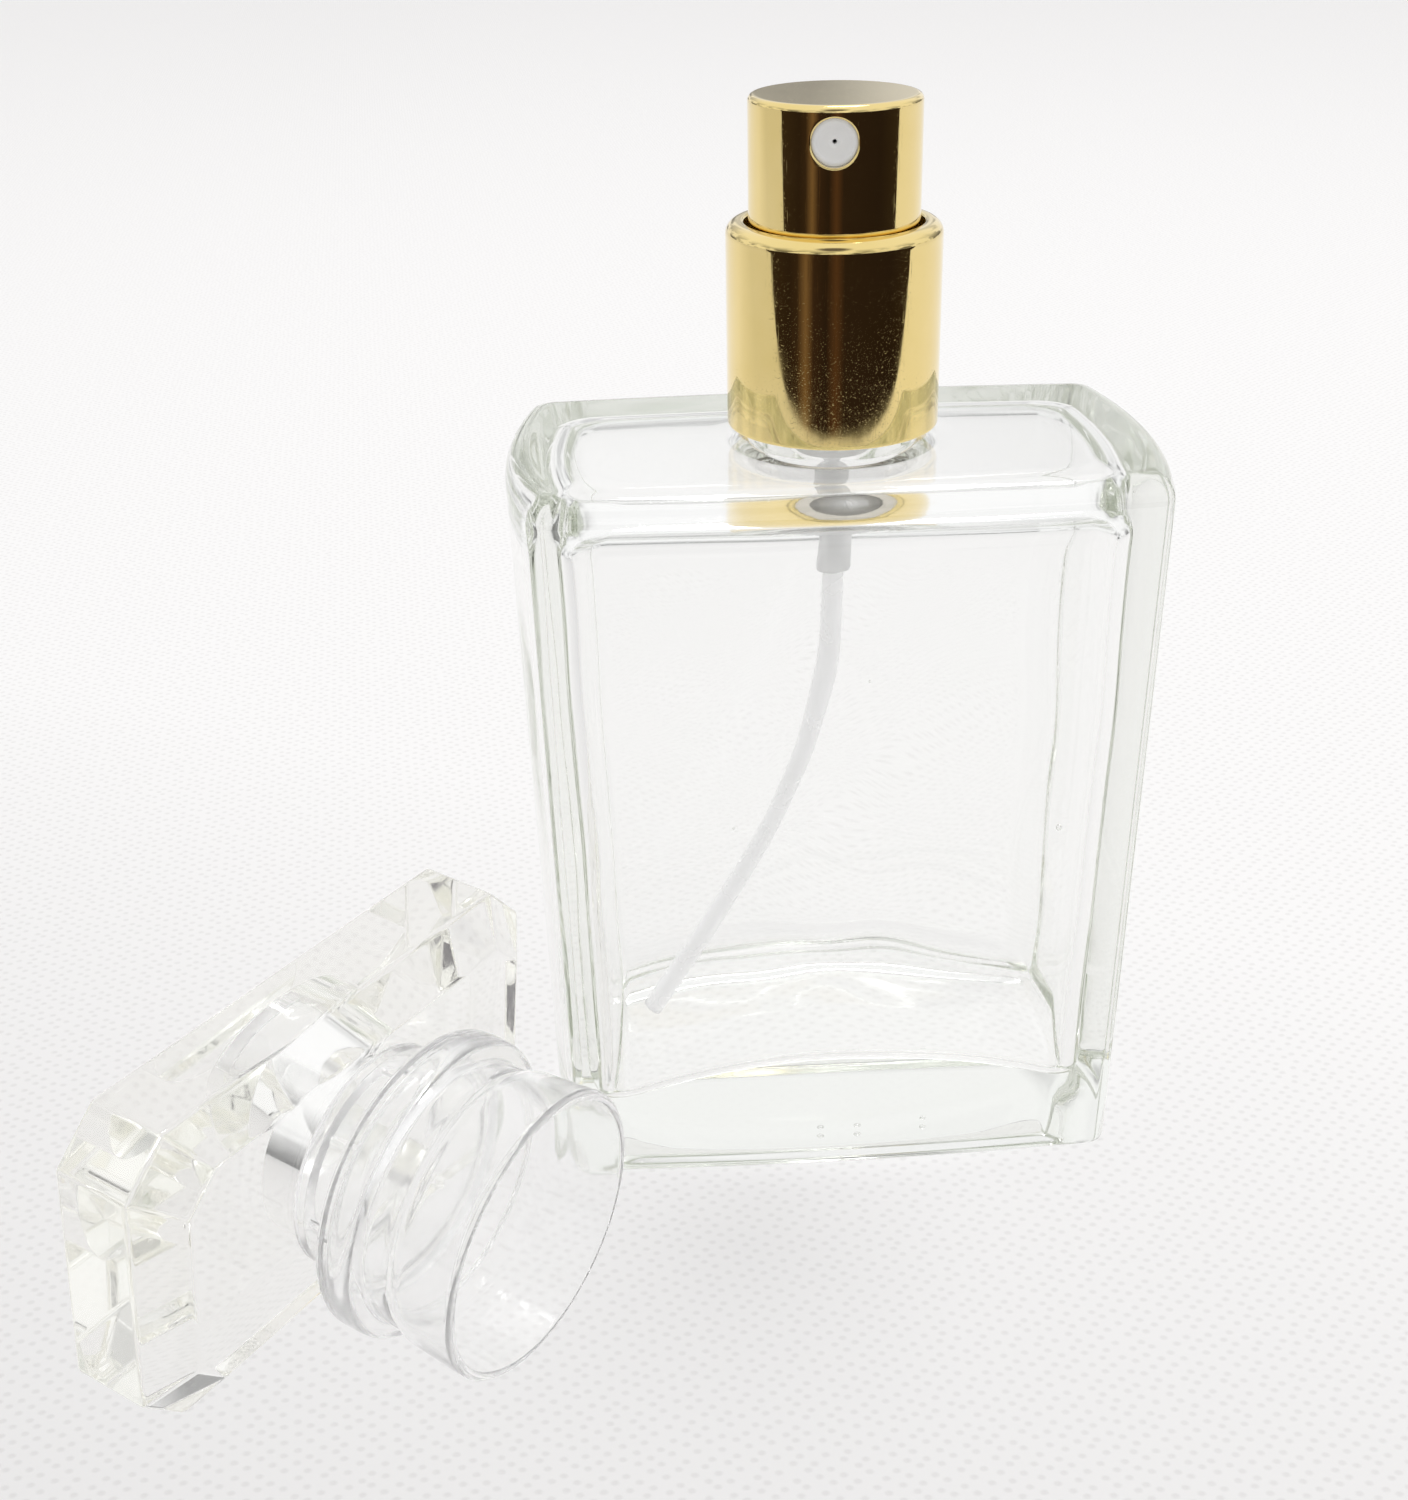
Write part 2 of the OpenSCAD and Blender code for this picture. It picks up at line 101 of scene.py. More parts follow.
def skin(rings, first=None, last=None, joined=False):
    """Points and faces of a stack of rings. Quad = point, next in ring, next ring's two.
    first and last are pole points; joined closes the stack on itself."""
    rows, cols = rings.shape[:2]
    spans = rows if joined else rows - 1
    row, col = np.meshgrid(np.arange(spans), np.arange(cols), indexing="ij")
    here, there, after = row * cols, (row + 1) % rows * cols, (col + 1) % cols
    quads = np.stack([here + col, here + after, there + after, there + col], -1).reshape(-1, 4)
    points = rings.reshape(-1, 3)
    tris = np.empty((0, 3), int)
    ring = np.arange(cols)
    if first is not None:
        pole = np.full(cols, len(points))
        tris = np.vstack([tris, np.stack([pole, np.roll(ring, -1), ring], -1)])
        points = np.vstack([points, first])
    if last is not None:
        top = (rows - 1) * cols
        pole = np.full(cols, len(points))
        tris = np.vstack([tris, np.stack([pole, top + ring, top + np.roll(ring, -1)], -1)])
        points = np.vstack([points, last])
    return points, quads, tris


def combine(*parts):
    """One set of points and faces from several, with the face numbers moved up."""
    starts = np.cumsum([0] + [len(p[0]) for p in parts[:-1]])
    points = np.vstack([p[0] for p in parts])
    quads = np.vstack([p[1] + s for p, s in zip(parts, starts)])
    tris = np.vstack([p[2] + s for p, s in zip(parts, starts)])
    return points, quads, tris


def make_piece(name, surface, finish):
    """A smooth mesh object from points in millimetres, quads and triangles, with its material."""
    points, quads, tris = surface
    mesh = bpy.data.meshes.new(name)
    corners = np.concatenate([quads.ravel(), tris.ravel()]).astype(np.int32)
    starts = np.concatenate([np.arange(len(quads)) * 4, quads.size + np.arange(len(tris)) * 3])
    mesh.vertices.add(len(points))
    mesh.vertices.foreach_set("co", (points * MM).astype(np.float32).ravel())
    mesh.loops.add(len(corners))
    mesh.loops.foreach_set("vertex_index", corners)
    mesh.polygons.add(len(starts))
    mesh.polygons.foreach_set("loop_start", starts.astype(np.int32))
    mesh.polygons.foreach_set("use_smooth", np.ones(len(starts), bool))
    mesh.update(calc_edges=True)
    changed = mesh.validate()
    mesh.materials.append(finish)
    piece = bpy.data.objects.new(name, mesh)
    bpy.context.scene.collection.objects.link(piece)
    print(f"{name}: {len(points)} points, {2 * len(quads) + len(tris)} triangles, repaired {changed}")
    return piece


def fit_out(piece, body, slot, *nodes):
    """The piece moves with a body and stands for the CAD nodes named, which it hides. slot is not used.
    """
    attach(piece, body)
    if nodes:
        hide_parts(*nodes)
        low = np.array([np.array(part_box(n)[0]) for n in nodes]).min(0)
        high = np.array([np.array(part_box(n)[1]) for n in nodes]).max(0)
        own = np.array([v.co for v in piece.data.vertices])
        off = np.maximum(low - own.min(0), own.max(0) - high) / MM
        print(f"  stands for {nodes}; past their box by {off.max():.3f} mm at most")


# %% [markdown]
# ## Profiles and lathes
# Moulded and drawn parts have no knife edges. A profile is written as its plain corners, and each
# corner is then replaced by a short curve, with one more point held close on either side. Those
# close points keep the flat faces' shading flat, as a supporting edge loop would.

# %% Soft profiles and lathes
def soften(corners, size, closed=False, steps=5):
    """Profile with each corner rounded: (1-t)^2 A + 2t(1-t) P + t^2 B, where A and B lie on the
    two sides at size from the corner P, or at a third of a side that is shorter than that."""
    p = np.asarray(corners, float)
    before = np.roll(p, 1, 0) - p
    after = np.roll(p, -1, 0) - p
    len_b = np.linalg.norm(before, axis=1, keepdims=True)
    len_a = np.linalg.norm(after, axis=1, keepdims=True)
    size = np.broadcast_to(np.asarray(size, float).reshape(-1, 1), (len(p), 1))
    a = p + before * np.minimum(size / len_b, 0.33)
    b = p + after * np.minimum(size / len_a, 0.33)
    held_a = p + before * np.minimum(1.4 * size / len_b, 0.45)
    held_b = p + after * np.minimum(1.4 * size / len_a, 0.45)
    t = np.linspace(0, 1, steps).reshape(1, -1, 1)
    curve = (1 - t) ** 2 * a[:, None] + 2 * t * (1 - t) * p[:, None] + t**2 * b[:, None]
    rows = np.concatenate([held_a[:, None], curve, held_b[:, None]], 1)
    if closed:
        return rows.reshape(-1, 2)
    return np.vstack([p[:1], rows[1:-1].reshape(-1, 2), p[-1:]])


def even_angles(count):
    return np.arange(count) * 2 * np.pi / count


def turned(profile, angles):
    """Rings of a lathe: each profile point (radius, height) goes round the Z axis."""
    r, z = profile[:, :1], profile[:, 1:]
    return np.stack([r * np.cos(angles), r * np.sin(angles), z + 0 * angles], -1)


def blend_step(low, high, value):
    """0 below low, 1 above high and a smooth S curve between: t^2 (3 - 2t)."""
    t = np.clip((value - low) / (high - low), 0, 1)
    return t * t * (3 - 2 * t)


SQUARE = [(0, 0), (1, 0), (1, 1), (0, 1)]
print("A softened square has", len(soften(SQUARE, 0.1, closed=True)), "points")

# %% [markdown]
# ## Finishes
# A few effects are shared, so each is a node group built once: slow mottling that varies a
# value, and hairline scratches that give a height. They read the Object coordinates, in
# millimetres, which all pieces share because every piece's origin is the bottle's.

# %% Node helpers and shared groups
def add_node(tree, kind, **values):
    """New shader node. Names in lower case are its own settings, and the others are its inputs,
    where an underscore stands for a space."""
    node = tree.nodes.new("ShaderNode" + kind)
    for label, value in values.items():
        if label.islower():
            setattr(node, label, value)
        else:
            node.inputs[label.replace("_", " ")].default_value = value
    return node


def wire(tree, *links):
    """Links, each written as node, output, node, input."""
    for source, out, target, into in links:
        tree.links.new(source.outputs[out], target.inputs[into])


def map_range(tree, low, high, to_low=0.0, to_high=1.0, curve="LINEAR"):
    """Map Range node that takes low..high to to_low..to_high."""
    return add_node(tree, "MapRange", interpolation_type=curve, From_Min=low, From_Max=high,
                    To_Min=to_low, To_Max=to_high)


def vector_math(tree, operation, other=(0, 0, 0)):
    node = add_node(tree, "VectorMath", operation=operation)
    node.inputs[1].default_value = other
    return node


def colour_mix(tree, first, second):
    """Mix node for two colours; None leaves a colour to be linked."""
    node = add_node(tree, "Mix", data_type="RGBA")
    for socket, colour in ((6, first), (7, second)):
        if colour is not None:
            node.inputs[socket].default_value = (*colour, 1)
    return node


def new_group(name, inputs, output):
    """Node group with the named inputs, vectors where the value is None, and one float output."""
    group = bpy.data.node_groups.new(name, "ShaderNodeTree")
    for label, value in inputs.items():
        kind = "NodeSocketVector" if value is None else "NodeSocketFloat"
        socket = group.interface.new_socket(label, in_out="INPUT", socket_type=kind)
        if value is not None:
            socket.default_value = value
    group.interface.new_socket(output, in_out="OUTPUT", socket_type="NodeSocketFloat")
    return group, group.nodes.new("NodeGroupInput"), group.nodes.new("NodeGroupOutput")


def mottle_group():
    """Slow noise, spread between the values Low and High."""
    inputs = {"Vector": None, "Scale": 0.2, "Low": 0.0, "High": 1.0}
    group, come, go = new_group("mottle", inputs, "Value")
    noise = add_node(group, "TexNoise", Detail=3)
    spread = map_range(group, 0.32, 0.68)
    wire(group, (come, "Vector", noise, "Vector"), (come, "Scale", noise, "Scale"),
         (noise, "Fac", spread, "Value"), (come, "Low", spread, "To Min"),
         (come, "High", spread, "To Max"), (spread, "Result", go, "Value"))
    return group


def hairline_group():
    """Sparse fine scratches: two noises, each stretched along its own direction, where they peak."""
    group, come, go = new_group("hairlines", {"Vector": None, "Amount": 1.0}, "Height")
    both = add_node(group, "Math", operation="MAXIMUM")
    ways = [((0.3, 0.2, 0.6), (9, 9, 0.35)), ((0.9, -0.4, 1.9), (7, 0.3, 7))]
    for i, (turn, stretch) in enumerate(ways):
        place = add_node(group, "Mapping", Rotation=turn, Scale=stretch)
        noise = add_node(group, "TexNoise", Scale=1, Detail=1)
        peak = map_range(group, 0.66, 0.74)
        wire(group, (come, "Vector", place, "Vector"), (place, "Vector", noise, "Vector"),
             (noise, "Fac", peak, "Value"), (peak, "Result", both, i))
    scaled = add_node(group, "Math", operation="MULTIPLY")
    wire(group, (both, 0, scaled, 0), (come, "Amount", scaled, 1), (scaled, 0, go, "Height"))
    return group


MOTTLE = mottle_group()
HAIRLINES = hairline_group()
print("Shared groups:", MOTTLE.name, HAIRLINES.name)

# %% [markdown]
# A finish here always has the same skeleton: a colour that drifts between two near tones, a
# roughness that drifts between two values, and a bump from scratches or grain. One function
# builds that, and the metals, plastics and glasses differ in the numbers that they give it.

# %% One builder for all finishes
def new_material(name):
    """A material with its node tree and its Principled shader."""
    material = bpy.data.materials.new(name)
    material.use_nodes = True
    return material, material.node_tree, material.node_tree.nodes["Principled BSDF"]


def finish(name, tones, rough, scale=0.2, lines=0.0, grain=0.0, grain_scale=3.0, **sockets):
    """Principled material. tones and rough are pairs that mottling moves between; lines is the
    depth of hairlines and grain that of a fine noise, both in millimetres."""
    material, tree, shader = new_material(name)
    for label, value in sockets.items():
        shader.inputs[label.replace("_", " ")].default_value = value
    where = add_node(tree, "TexCoord")
    spot = add_node(tree, "Mapping", Scale=(1 / MM, 1 / MM, 1 / MM))
    drift = add_node(tree, "Group", node_tree=MOTTLE, Scale=scale)
    tint = colour_mix(tree, *tones)
    haze = add_node(tree, "Group", node_tree=MOTTLE, Scale=scale * 2.3, Low=rough[0], High=rough[1])
    wire(tree, (where, "Object", spot, "Vector"), (spot, "Vector", drift, "Vector"),
         (drift, "Value", tint, 0), (tint, 2, shader, "Base Color"), (spot, "Vector", haze, "Vector"),
         (haze, "Value", shader, "Roughness"))
    height = None
    if lines:
        height = add_node(tree, "Group", node_tree=HAIRLINES, Amount=-lines)
        wire(tree, (spot, "Vector", height, "Vector"))
    if grain:
        fine = add_node(tree, "TexNoise", Scale=grain_scale, Detail=2)
        sized = add_node(tree, "Math", operation="MULTIPLY_ADD")
        sized.inputs[1].default_value = grain
        sized.inputs[2].default_value = 0
        wire(tree, (spot, "Vector", fine, "Vector"), (fine, "Fac", sized, 0))
        if height is not None:
            wire(tree, (height, "Height", sized, 2))
        height = sized
    if height is not None:
        bump = add_node(tree, "Bump", Distance=MM)
        wire(tree, (height, 0, bump, "Height"), (bump, "Normal", shader, "Normal"))
    return material


def absorb(material, colour, density):
    """Tints clear material by its thickness: light is lost in proportion to the path inside."""
    tree = material.node_tree
    volume = add_node(tree, "VolumeAbsorption", Color=(*colour, 1), Density=density)
    output = next(n for n in tree.nodes if n.type == "OUTPUT_MATERIAL")
    wire(tree, (volume, "Volume", output, "Volume"))


# %% [markdown]
# ### The finishes of this bottle
# The flint glass is nearly colourless and only its edges look green, so its tint is an absorption
# that grows with thickness. The acrylic cap has a faint yellow one. The gold is a lacquered
# mirror, bright where it reflects the white floor and almost black where it reflects the painted dark
# sheet that stands for a dark room.

# %% The finishes
GLASS = finish("clear_glass", [(0.994, 0.997, 0.994), (1, 1, 1)], (0.0, 0.012), scale=0.12,
               grain=0.0015, grain_scale=0.25, lines=0.0004, Transmission_Weight=1, IOR=1.52)
absorb(GLASS, (0.665, 0.705, 0.60), 9)
ACRYLIC = finish("clear_acrylic", [(0.99, 0.99, 0.98), (1, 1, 1)], (0.0, 0.01), lines=0.0006,
                 Transmission_Weight=1, IOR=1.49)
absorb(ACRYLIC, (0.75, 0.72, 0.3), 1.6)
LINER = finish("clear_plastic", [(0.985, 0.985, 0.98), (1, 1, 1)], (0.04, 0.1), grain=0.002,
               grain_scale=0.6, lines=0.0006, Transmission_Weight=0.92, IOR=1.45)
GOLD = finish("lacquered_gold", [(0.84, 0.66, 0.265), (0.88, 0.70, 0.305)], (0.03, 0.07), lines=0.0012,
              grain=0.0012, grain_scale=0.35, Metallic=1, Coat_Weight=0.4, Coat_Roughness=0.03)
WHITE = finish("white_plastic", [(0.80, 0.80, 0.79), (0.86, 0.86, 0.85)], (0.28, 0.38), grain=0.003,
               IOR=1.5)
IVORY = finish("ivory_plastic", [(0.78, 0.74, 0.64), (0.84, 0.80, 0.70)], (0.32, 0.42), grain=0.004,
               IOR=1.5)
NATURAL = finish("natural_plastic", [(0.97, 0.975, 0.965), (1, 1, 0.995)], (0.3, 0.4), grain=0.003,
                 Transmission_Weight=0.35, IOR=1.35)
TUBE = finish("tube_plastic", [(0.98, 0.98, 0.975), (1, 1, 1)], (0.2, 0.3), grain=0.002,
              Transmission_Weight=0.3, IOR=1.3)
FOAM = finish("foam", [(0.78, 0.78, 0.76), (0.88, 0.88, 0.86)], (0.75, 0.9), grain=0.03, grain_scale=6)
RUBBER = finish("grey_rubber", [(0.05, 0.05, 0.052), (0.08, 0.08, 0.08)], (0.55, 0.7), grain=0.006)
STEEL = finish("spring_steel", [(0.52, 0.52, 0.53), (0.62, 0.62, 0.62)], (0.18, 0.3), lines=0.002,
               Metallic=1)
print("Finishes:", [m.name for m in bpy.data.materials if m.users == 0])

# %% [markdown]
# ## The glass body
# The body is a pressed block with four faces that bulge and lean outwards, so a box with bevels
# would look wrong. Each face is part of a huge drum. A ray goes out from the bottle's axis at
# each angle, and the wall stands where the ray leaves the shape that all four drums share.
# Corners are rounded in the same formula, so outer skin and cavity come from one function.

# %% The wall of the body
BODY_H = 65.0
MID_REACH = np.array([25.84, 14.35])      # from the axis to the middle of an end and a face, at z = 0
LEAN = np.array([1.8, 1.1]) / BODY_H      # how much further out per millimetre of height
DRUM_R = np.array([52.9, 363.7])          # radii of the end and the face drums
CORNER_AT = (24.85, 14.05)                # where a corner of the base stands
BEYOND, HALVINGS = 40.0, 30               # a distance outside the body, and the search's steps


def wall_distance(angle, height, inset, corner):
    """Distance from the axis to the wall. Depth past each drum = distance to its axis less its
    radius; a rounded corner takes the root of the squares of both depths. The wall is where
    the result is zero, found by halving the range thirty times."""
    angle, height = np.broadcast_arrays(angle, height)
    cos, sin = np.abs(np.cos(angle)), np.abs(np.sin(angle))
    axis = MID_REACH + LEAN * height[..., None] - DRUM_R
    radius = DRUM_R - inset
    near, far = np.zeros(angle.shape), np.full(angle.shape, BEYOND)
    for _ in range(HALVINGS):
        mid = (near + far) / 2
        end = np.hypot(mid * cos - axis[..., 0], mid * sin) - radius[..., 0] + corner
        face = np.hypot(mid * cos, mid * sin - axis[..., 1]) - radius[..., 1] + corner
        rounded = np.hypot(np.maximum(end, 0), np.maximum(face, 0))
        depth = rounded + np.minimum(np.maximum(end, face), 0) - corner
        near, far = np.where(depth > 0, near, mid), np.where(depth > 0, mid, far)
    return mid


def body_angles(count, focus=7.0, width=0.045):
    """Angles round the body, closer at its corners: even steps of the running sum of
    1 + focus x a bell curve at each corner."""
    fine = np.linspace(-np.pi, np.pi, 20001)
    corner = np.arctan2(CORNER_AT[1], CORNER_AT[0])
    corners = (corner, -corner, np.pi - corner, corner - np.pi)
    bells = sum(np.exp(-(((fine - c) / width) ** 2)) for c in corners)
    running = np.cumsum(1 + focus * bells)
    share = (running - running[0]) / (running[-1] - running[0])
    return np.interp(np.arange(count) / count, share, fine)


BODY_ANGLES = body_angles(360)
LOOKS = np.array([-np.pi / 2, 0, np.arctan2(CORNER_AT[1], CORNER_AT[0])])
print("Wall at the front, right and corner:", wall_distance(LOOKS, np.zeros(3), np.zeros(2), 0.9))

# %% [markdown]
# ### Outer skin and neck
# The block has soft edges and a threaded neck. Both are rings at the same angles, so one stack
# takes in the foot, the sides, the shoulder and the neck, with no seam for light to catch on.
# The underside is hollowed a little so that the bottle stands on a rim.

# %% Rings of the outer skin
FOOT, SHOULDER, HOLLOW = 1.0, 2.3, 0.5                # edge radii, and the underside's hollow
NECK_R, NECK_TOP, BORE_R = 6.5, 74.0, 4.9
CORNER_R = 0.9
FILLET, FILLET_H, LIP = 2.7, 2.2, 0.4                 # foot of the neck, and the lip's outer edge
THREAD_LOW, THREAD_DEPTH, THREAD_TURNS = 69.3, 0.7, 1.25
CREST_HALF, FLANK, THREAD_FADE = 0.45, 0.25, 0.3      # half width, flank width, fade in radians


def quarter(count):
    """Angles of a quarter turn as a column."""
    return np.linspace(0, np.pi / 2, count)[:, None]


def at(distance, height):
    """Ring points from distances and heights at the body's angles."""
    distance, height = np.broadcast_arrays(distance, height + 0 * BODY_ANGLES)
    return np.stack([distance * np.cos(BODY_ANGLES), distance * np.sin(BODY_ANGLES), height], -1)


def skin_at(height, inset, corner=CORNER_R):
    inset = np.stack([inset + 0 * BODY_ANGLES] * 2, -1)
    return wall_distance(BODY_ANGLES, height + 0 * BODY_ANGLES, inset, corner)


def thread_height(z):
    """1 on the thread's crest and 0 beside it: a trapezium round a helix of 2 mm pitch that
    rises from 69.3 mm for one and a quarter turns and fades at both ends."""
    total = np.zeros(np.broadcast_shapes(z.shape, BODY_ANGLES.shape))
    end = THREAD_TURNS * 2 * np.pi
    for lap in (0, 1):
        turn = BODY_ANGLES % (2 * np.pi) + 2 * np.pi * lap
        flank = np.clip((CREST_HALF - np.abs(z - THREAD_LOW - turn / np.pi)) / FLANK, 0, 1)
        ends = blend_step(0, THREAD_FADE, turn) * (1 - blend_step(end - THREAD_FADE, end, turn))
        total = np.maximum(total, flank * ends)
    return total


def outer_rings():
    """Underside, foot's edge, sides, shoulder's edge, shoulder, fillet, threaded neck and lip."""
    out = [0.04, 0.12, 0.25, 0.4, 0.55, 0.68, 0.76, 0.8, 0.84, 0.88, 0.92, 0.96, 0.99]
    out = np.array(out)[:, None]
    hollow = HOLLOW * (1 - blend_step(0.78, 0.93, out))
    rings = [at(out * skin_at(0.0, FOOT), hollow)]
    arc = quarter(6)
    low = FOOT * (1 - np.cos(arc))
    rings.append(at(skin_at(low, FOOT * (1 - np.sin(arc))), low))
    top = BODY_H - SHOULDER
    side = np.concatenate([[FOOT + 0.3], np.linspace(3, top - 2, 22), [top - 0.4]])[:, None]
    rings.append(at(skin_at(side, 0.0), side))
    arc = quarter(12)
    high = BODY_H - SHOULDER * (1 - np.sin(arc))
    rings.append(at(skin_at(high, SHOULDER * (1 - np.cos(arc))), high))
    ring_in = np.concatenate([[0.02], np.linspace(0.08, 1, 12)])[:, None]
    rings.append(at((1 - ring_in) * skin_at(BODY_H, SHOULDER) + ring_in * (NECK_R + FILLET), BODY_H))
    arc = quarter(7)[1:]
    rings.append(at(NECK_R + FILLET * (1 - np.sin(arc)), BODY_H + FILLET_H * (1 - np.cos(arc))))
    neck = np.linspace(BODY_H + FILLET_H, NECK_TOP - LIP, 46)[1:, None]
    rings.append(at(NECK_R + THREAD_DEPTH * thread_height(neck), neck))
    arc = quarter(5)[1:]
    rings.append(at(NECK_R - LIP * (1 - np.cos(arc)), NECK_TOP - LIP * (1 - np.sin(arc))))
    return np.vstack(rings)


OUTER = outer_rings()
print("Outer skin:", OUTER.shape, "height", OUTER[..., 2].min(), "to", OUTER[..., 2].max())

# %% [markdown]
# ### Bore and cavity
# Pressed glass is not optically flat: its inner wall carries slow waves from the plunger and the
# blow, and these bend what is seen through it into wandering lines. The waves are sums of sines
# on the inner wall, whose rings carry on from those of the lip.

# %% Rings of the bore and the cavity
WALLS = np.array([3.4, 3.2])
TOP_EDGE, FLOOR_EDGE, INNER_CORNER = 3.0, 2.0, 2.6
CAVITY_TOP, FLOOR_CROWN, FLOOR_R = 62.0, 10.0, 57.0
MOUTH, FLARE, BORE_FOOT = 0.35, 0.5, 0.9      # roundings of the lip's inner edge and the bore's foot


def waves(z):
    """Millimetres that the cavity's wall wanders: sines of height and angle at three scales."""
    a = BODY_ANGLES
    slow = 0.12 * np.sin(0.13 * z + 3 * a + 0.6) + 0.05 * np.sin(0.31 * z - 5 * a + 2.1)
    return slow + 0.012 * np.sin(0.6 * z + 9 * a + 1.0)


def cavity_at(z, extra):
    inset = WALLS + np.stack([extra + waves(z)] * 2, -1)
    return wall_distance(BODY_ANGLES, z + 0 * BODY_ANGLES, inset, INNER_CORNER)


def floor_height(distance):
    """The cavity's floor is domed across its width, part of a drum along Y."""
    x = distance * np.cos(BODY_ANGLES)
    return FLOOR_CROWN - FLOOR_R + np.sqrt(FLOOR_R**2 - x**2)


def inner_rings():
    """Lip's inner edge, bore, its foot, the cavity's ceiling, upper edge, walls and floor."""
    arc = quarter(5)[1:]
    flare = FLARE * (1 - arc / arc.max())
    rings = [at(BORE_R + MOUTH - MOUTH * np.sin(arc) + flare, NECK_TOP - MOUTH * (1 - np.cos(arc)))]
    bore = np.linspace(NECK_TOP - 0.6, CAVITY_TOP + 1.1, 9)[:, None]
    rings.append(at(BORE_R, bore))
    arc = quarter(6)
    rings.append(at(BORE_R + BORE_FOOT * (1 - np.cos(arc)), CAVITY_TOP + BORE_FOOT * (1 - np.sin(arc))))
    out = np.linspace(0, 1, 13)[1:, None]
    top_edge = cavity_at(np.full((1, 1), CAVITY_TOP), TOP_EDGE)
    rings.append(at(BORE_R + BORE_FOOT + out * (top_edge - BORE_R - BORE_FOOT), CAVITY_TOP))
    arc = quarter(12)[1:]
    fall = CAVITY_TOP - TOP_EDGE * (1 - np.cos(arc))
    rings.append(at(cavity_at(fall, TOP_EDGE * (1 - np.sin(arc))), fall))
    floor = floor_height(cavity_at(np.full((1, 1), 8.0), 0))
    down = np.linspace(0, 1, 64)[1:-1, None]
    wall = (CAVITY_TOP - TOP_EDGE) * (1 - down) + (floor + FLOOR_EDGE) * down
    rings.append(at(cavity_at(wall, 0), wall))
    arc = quarter(9)
    inner = cavity_at(floor + FLOOR_EDGE * (1 - np.sin(arc)), FLOOR_EDGE * (1 - np.cos(arc)))
    rings.append(at(inner, floor_height(inner) + FLOOR_EDGE * (1 - np.sin(arc))))
    share = [0.99, 0.96, 0.92, 0.86, 0.78, 0.68, 0.57, 0.45, 0.33, 0.22, 0.12, 0.04]
    across = np.array(share)[:, None] * inner[-1]
    rings.append(at(across, floor_height(across)))
    return np.vstack(rings)


INNER = inner_rings()
print("Bore and cavity:", INNER.shape, "lowest", INNER[..., 2].min())

# %% [markdown]
# ### Seeds and moulding pips
# Real glass has a few tiny air bubbles, called seeds, and small round marks under the base from
# the mould. Both are air in the glass: closed egg shapes whose faces point to their own middle,
# away from the glass.

# %% Bubbles and the finished bottle
def air_seed(centre, size):
    """Egg shape from latitude and longitude, turned inside out so that it is air in the glass."""
    lat = np.linspace(-np.pi / 2, np.pi / 2, 11)[1:-1, None]
    lon = -even_angles(16)
    shape = np.stack([np.cos(lat) * np.cos(lon), np.cos(lat) * np.sin(lon), np.sin(lat) + 0 * lon], -1)
    centre, size = np.array(centre), np.array(size)
    return skin(centre + shape * size, first=centre - (0, 0, size[2]), last=centre + (0, 0, size[2]))


SEEDS = [((18.0, -13.6, 34.0), (0.26, 0.2, 0.3)), ((1.5, -13.5, 48.5), (0.1, 0.1, 0.14)),
         ((-8.0, 13.0, 22.0), (0.12, 0.1, 0.16)), ((-1.6, -6.0, 1.0), (0.34, 0.34, 0.24)),
         ((1.8, -6.0, 1.0), (0.34, 0.34, 0.24)), ((8.0, -5.0, 1.0), (0.3, 0.3, 0.22))]
body = skin(np.vstack([OUTER, INNER]), first=(0, 0, HOLLOW), last=(0, 0, FLOOR_CROWN))
bottle = make_piece("bottle_glass", combine(body, *[air_seed(*s) for s in SEEDS]), GLASS)
fit_out(bottle, "bottle", "clear_glass", "glass_bottle")

# %% [markdown]
# ## The gold collar
# The collar is drawn from thin aluminium: a straight tube whose upper edge rolls over to a round
# opening. A lathe fits it exactly. Its section is a closed loop, so the last ring joins the first.

# %% Gold collar
COLLAR_R, COLLAR_LOW, COLLAR_TOP, METAL = 8.8, 66.4, 83.0, 0.4
ROLL = 1.0
roll = np.linspace(0, np.pi / 2, 10)
quarter_turn = np.stack([np.cos(roll), np.sin(roll)], -1)
roll_centre = (COLLAR_R - ROLL, COLLAR_TOP - ROLL)
outside = roll_centre + ROLL * quarter_turn
inside = roll_centre + (ROLL - METAL) * quarter_turn[::-1]
bore = COLLAR_R - METAL
lower = [(bore, COLLAR_LOW + 0.08), (bore + 0.1, COLLAR_LOW), (COLLAR_R - 0.12, COLLAR_LOW),
         (COLLAR_R - 0.03, COLLAR_LOW + 0.05), (COLLAR_R, COLLAR_LOW + 0.15),
         (COLLAR_R, COLLAR_LOW + 0.3), (COLLAR_R, 70), (COLLAR_R, 76), (COLLAR_R, COLLAR_TOP - 1.1)]
mouth = [(7.6, COLLAR_TOP), (7.4, COLLAR_TOP - 0.02), (7.32, COLLAR_TOP - 0.1), (7.3, COLLAR_TOP - 0.2),
         (7.34, COLLAR_TOP - 0.36), (7.45, COLLAR_TOP - METAL)]
section = np.vstack([lower, outside, mouth, inside, [(bore, COLLAR_LOW + 4)]])
collar = make_piece("collar_gold", skin(turned(section, even_angles(256)), joined=True), GOLD)
fit_out(collar, "collar", "gold_metal", "collar_shell")

# %% [markdown]
# ## The gold actuator
# The button is a thimble with a round hole for the nozzle. A hole cut by a Boolean would leave
# long thin faces that show in a mirror finish. Here the side is a grid, a square of it is left
# out, and rings lead from the square's edge to the circle, then turn in over the hole's lip.

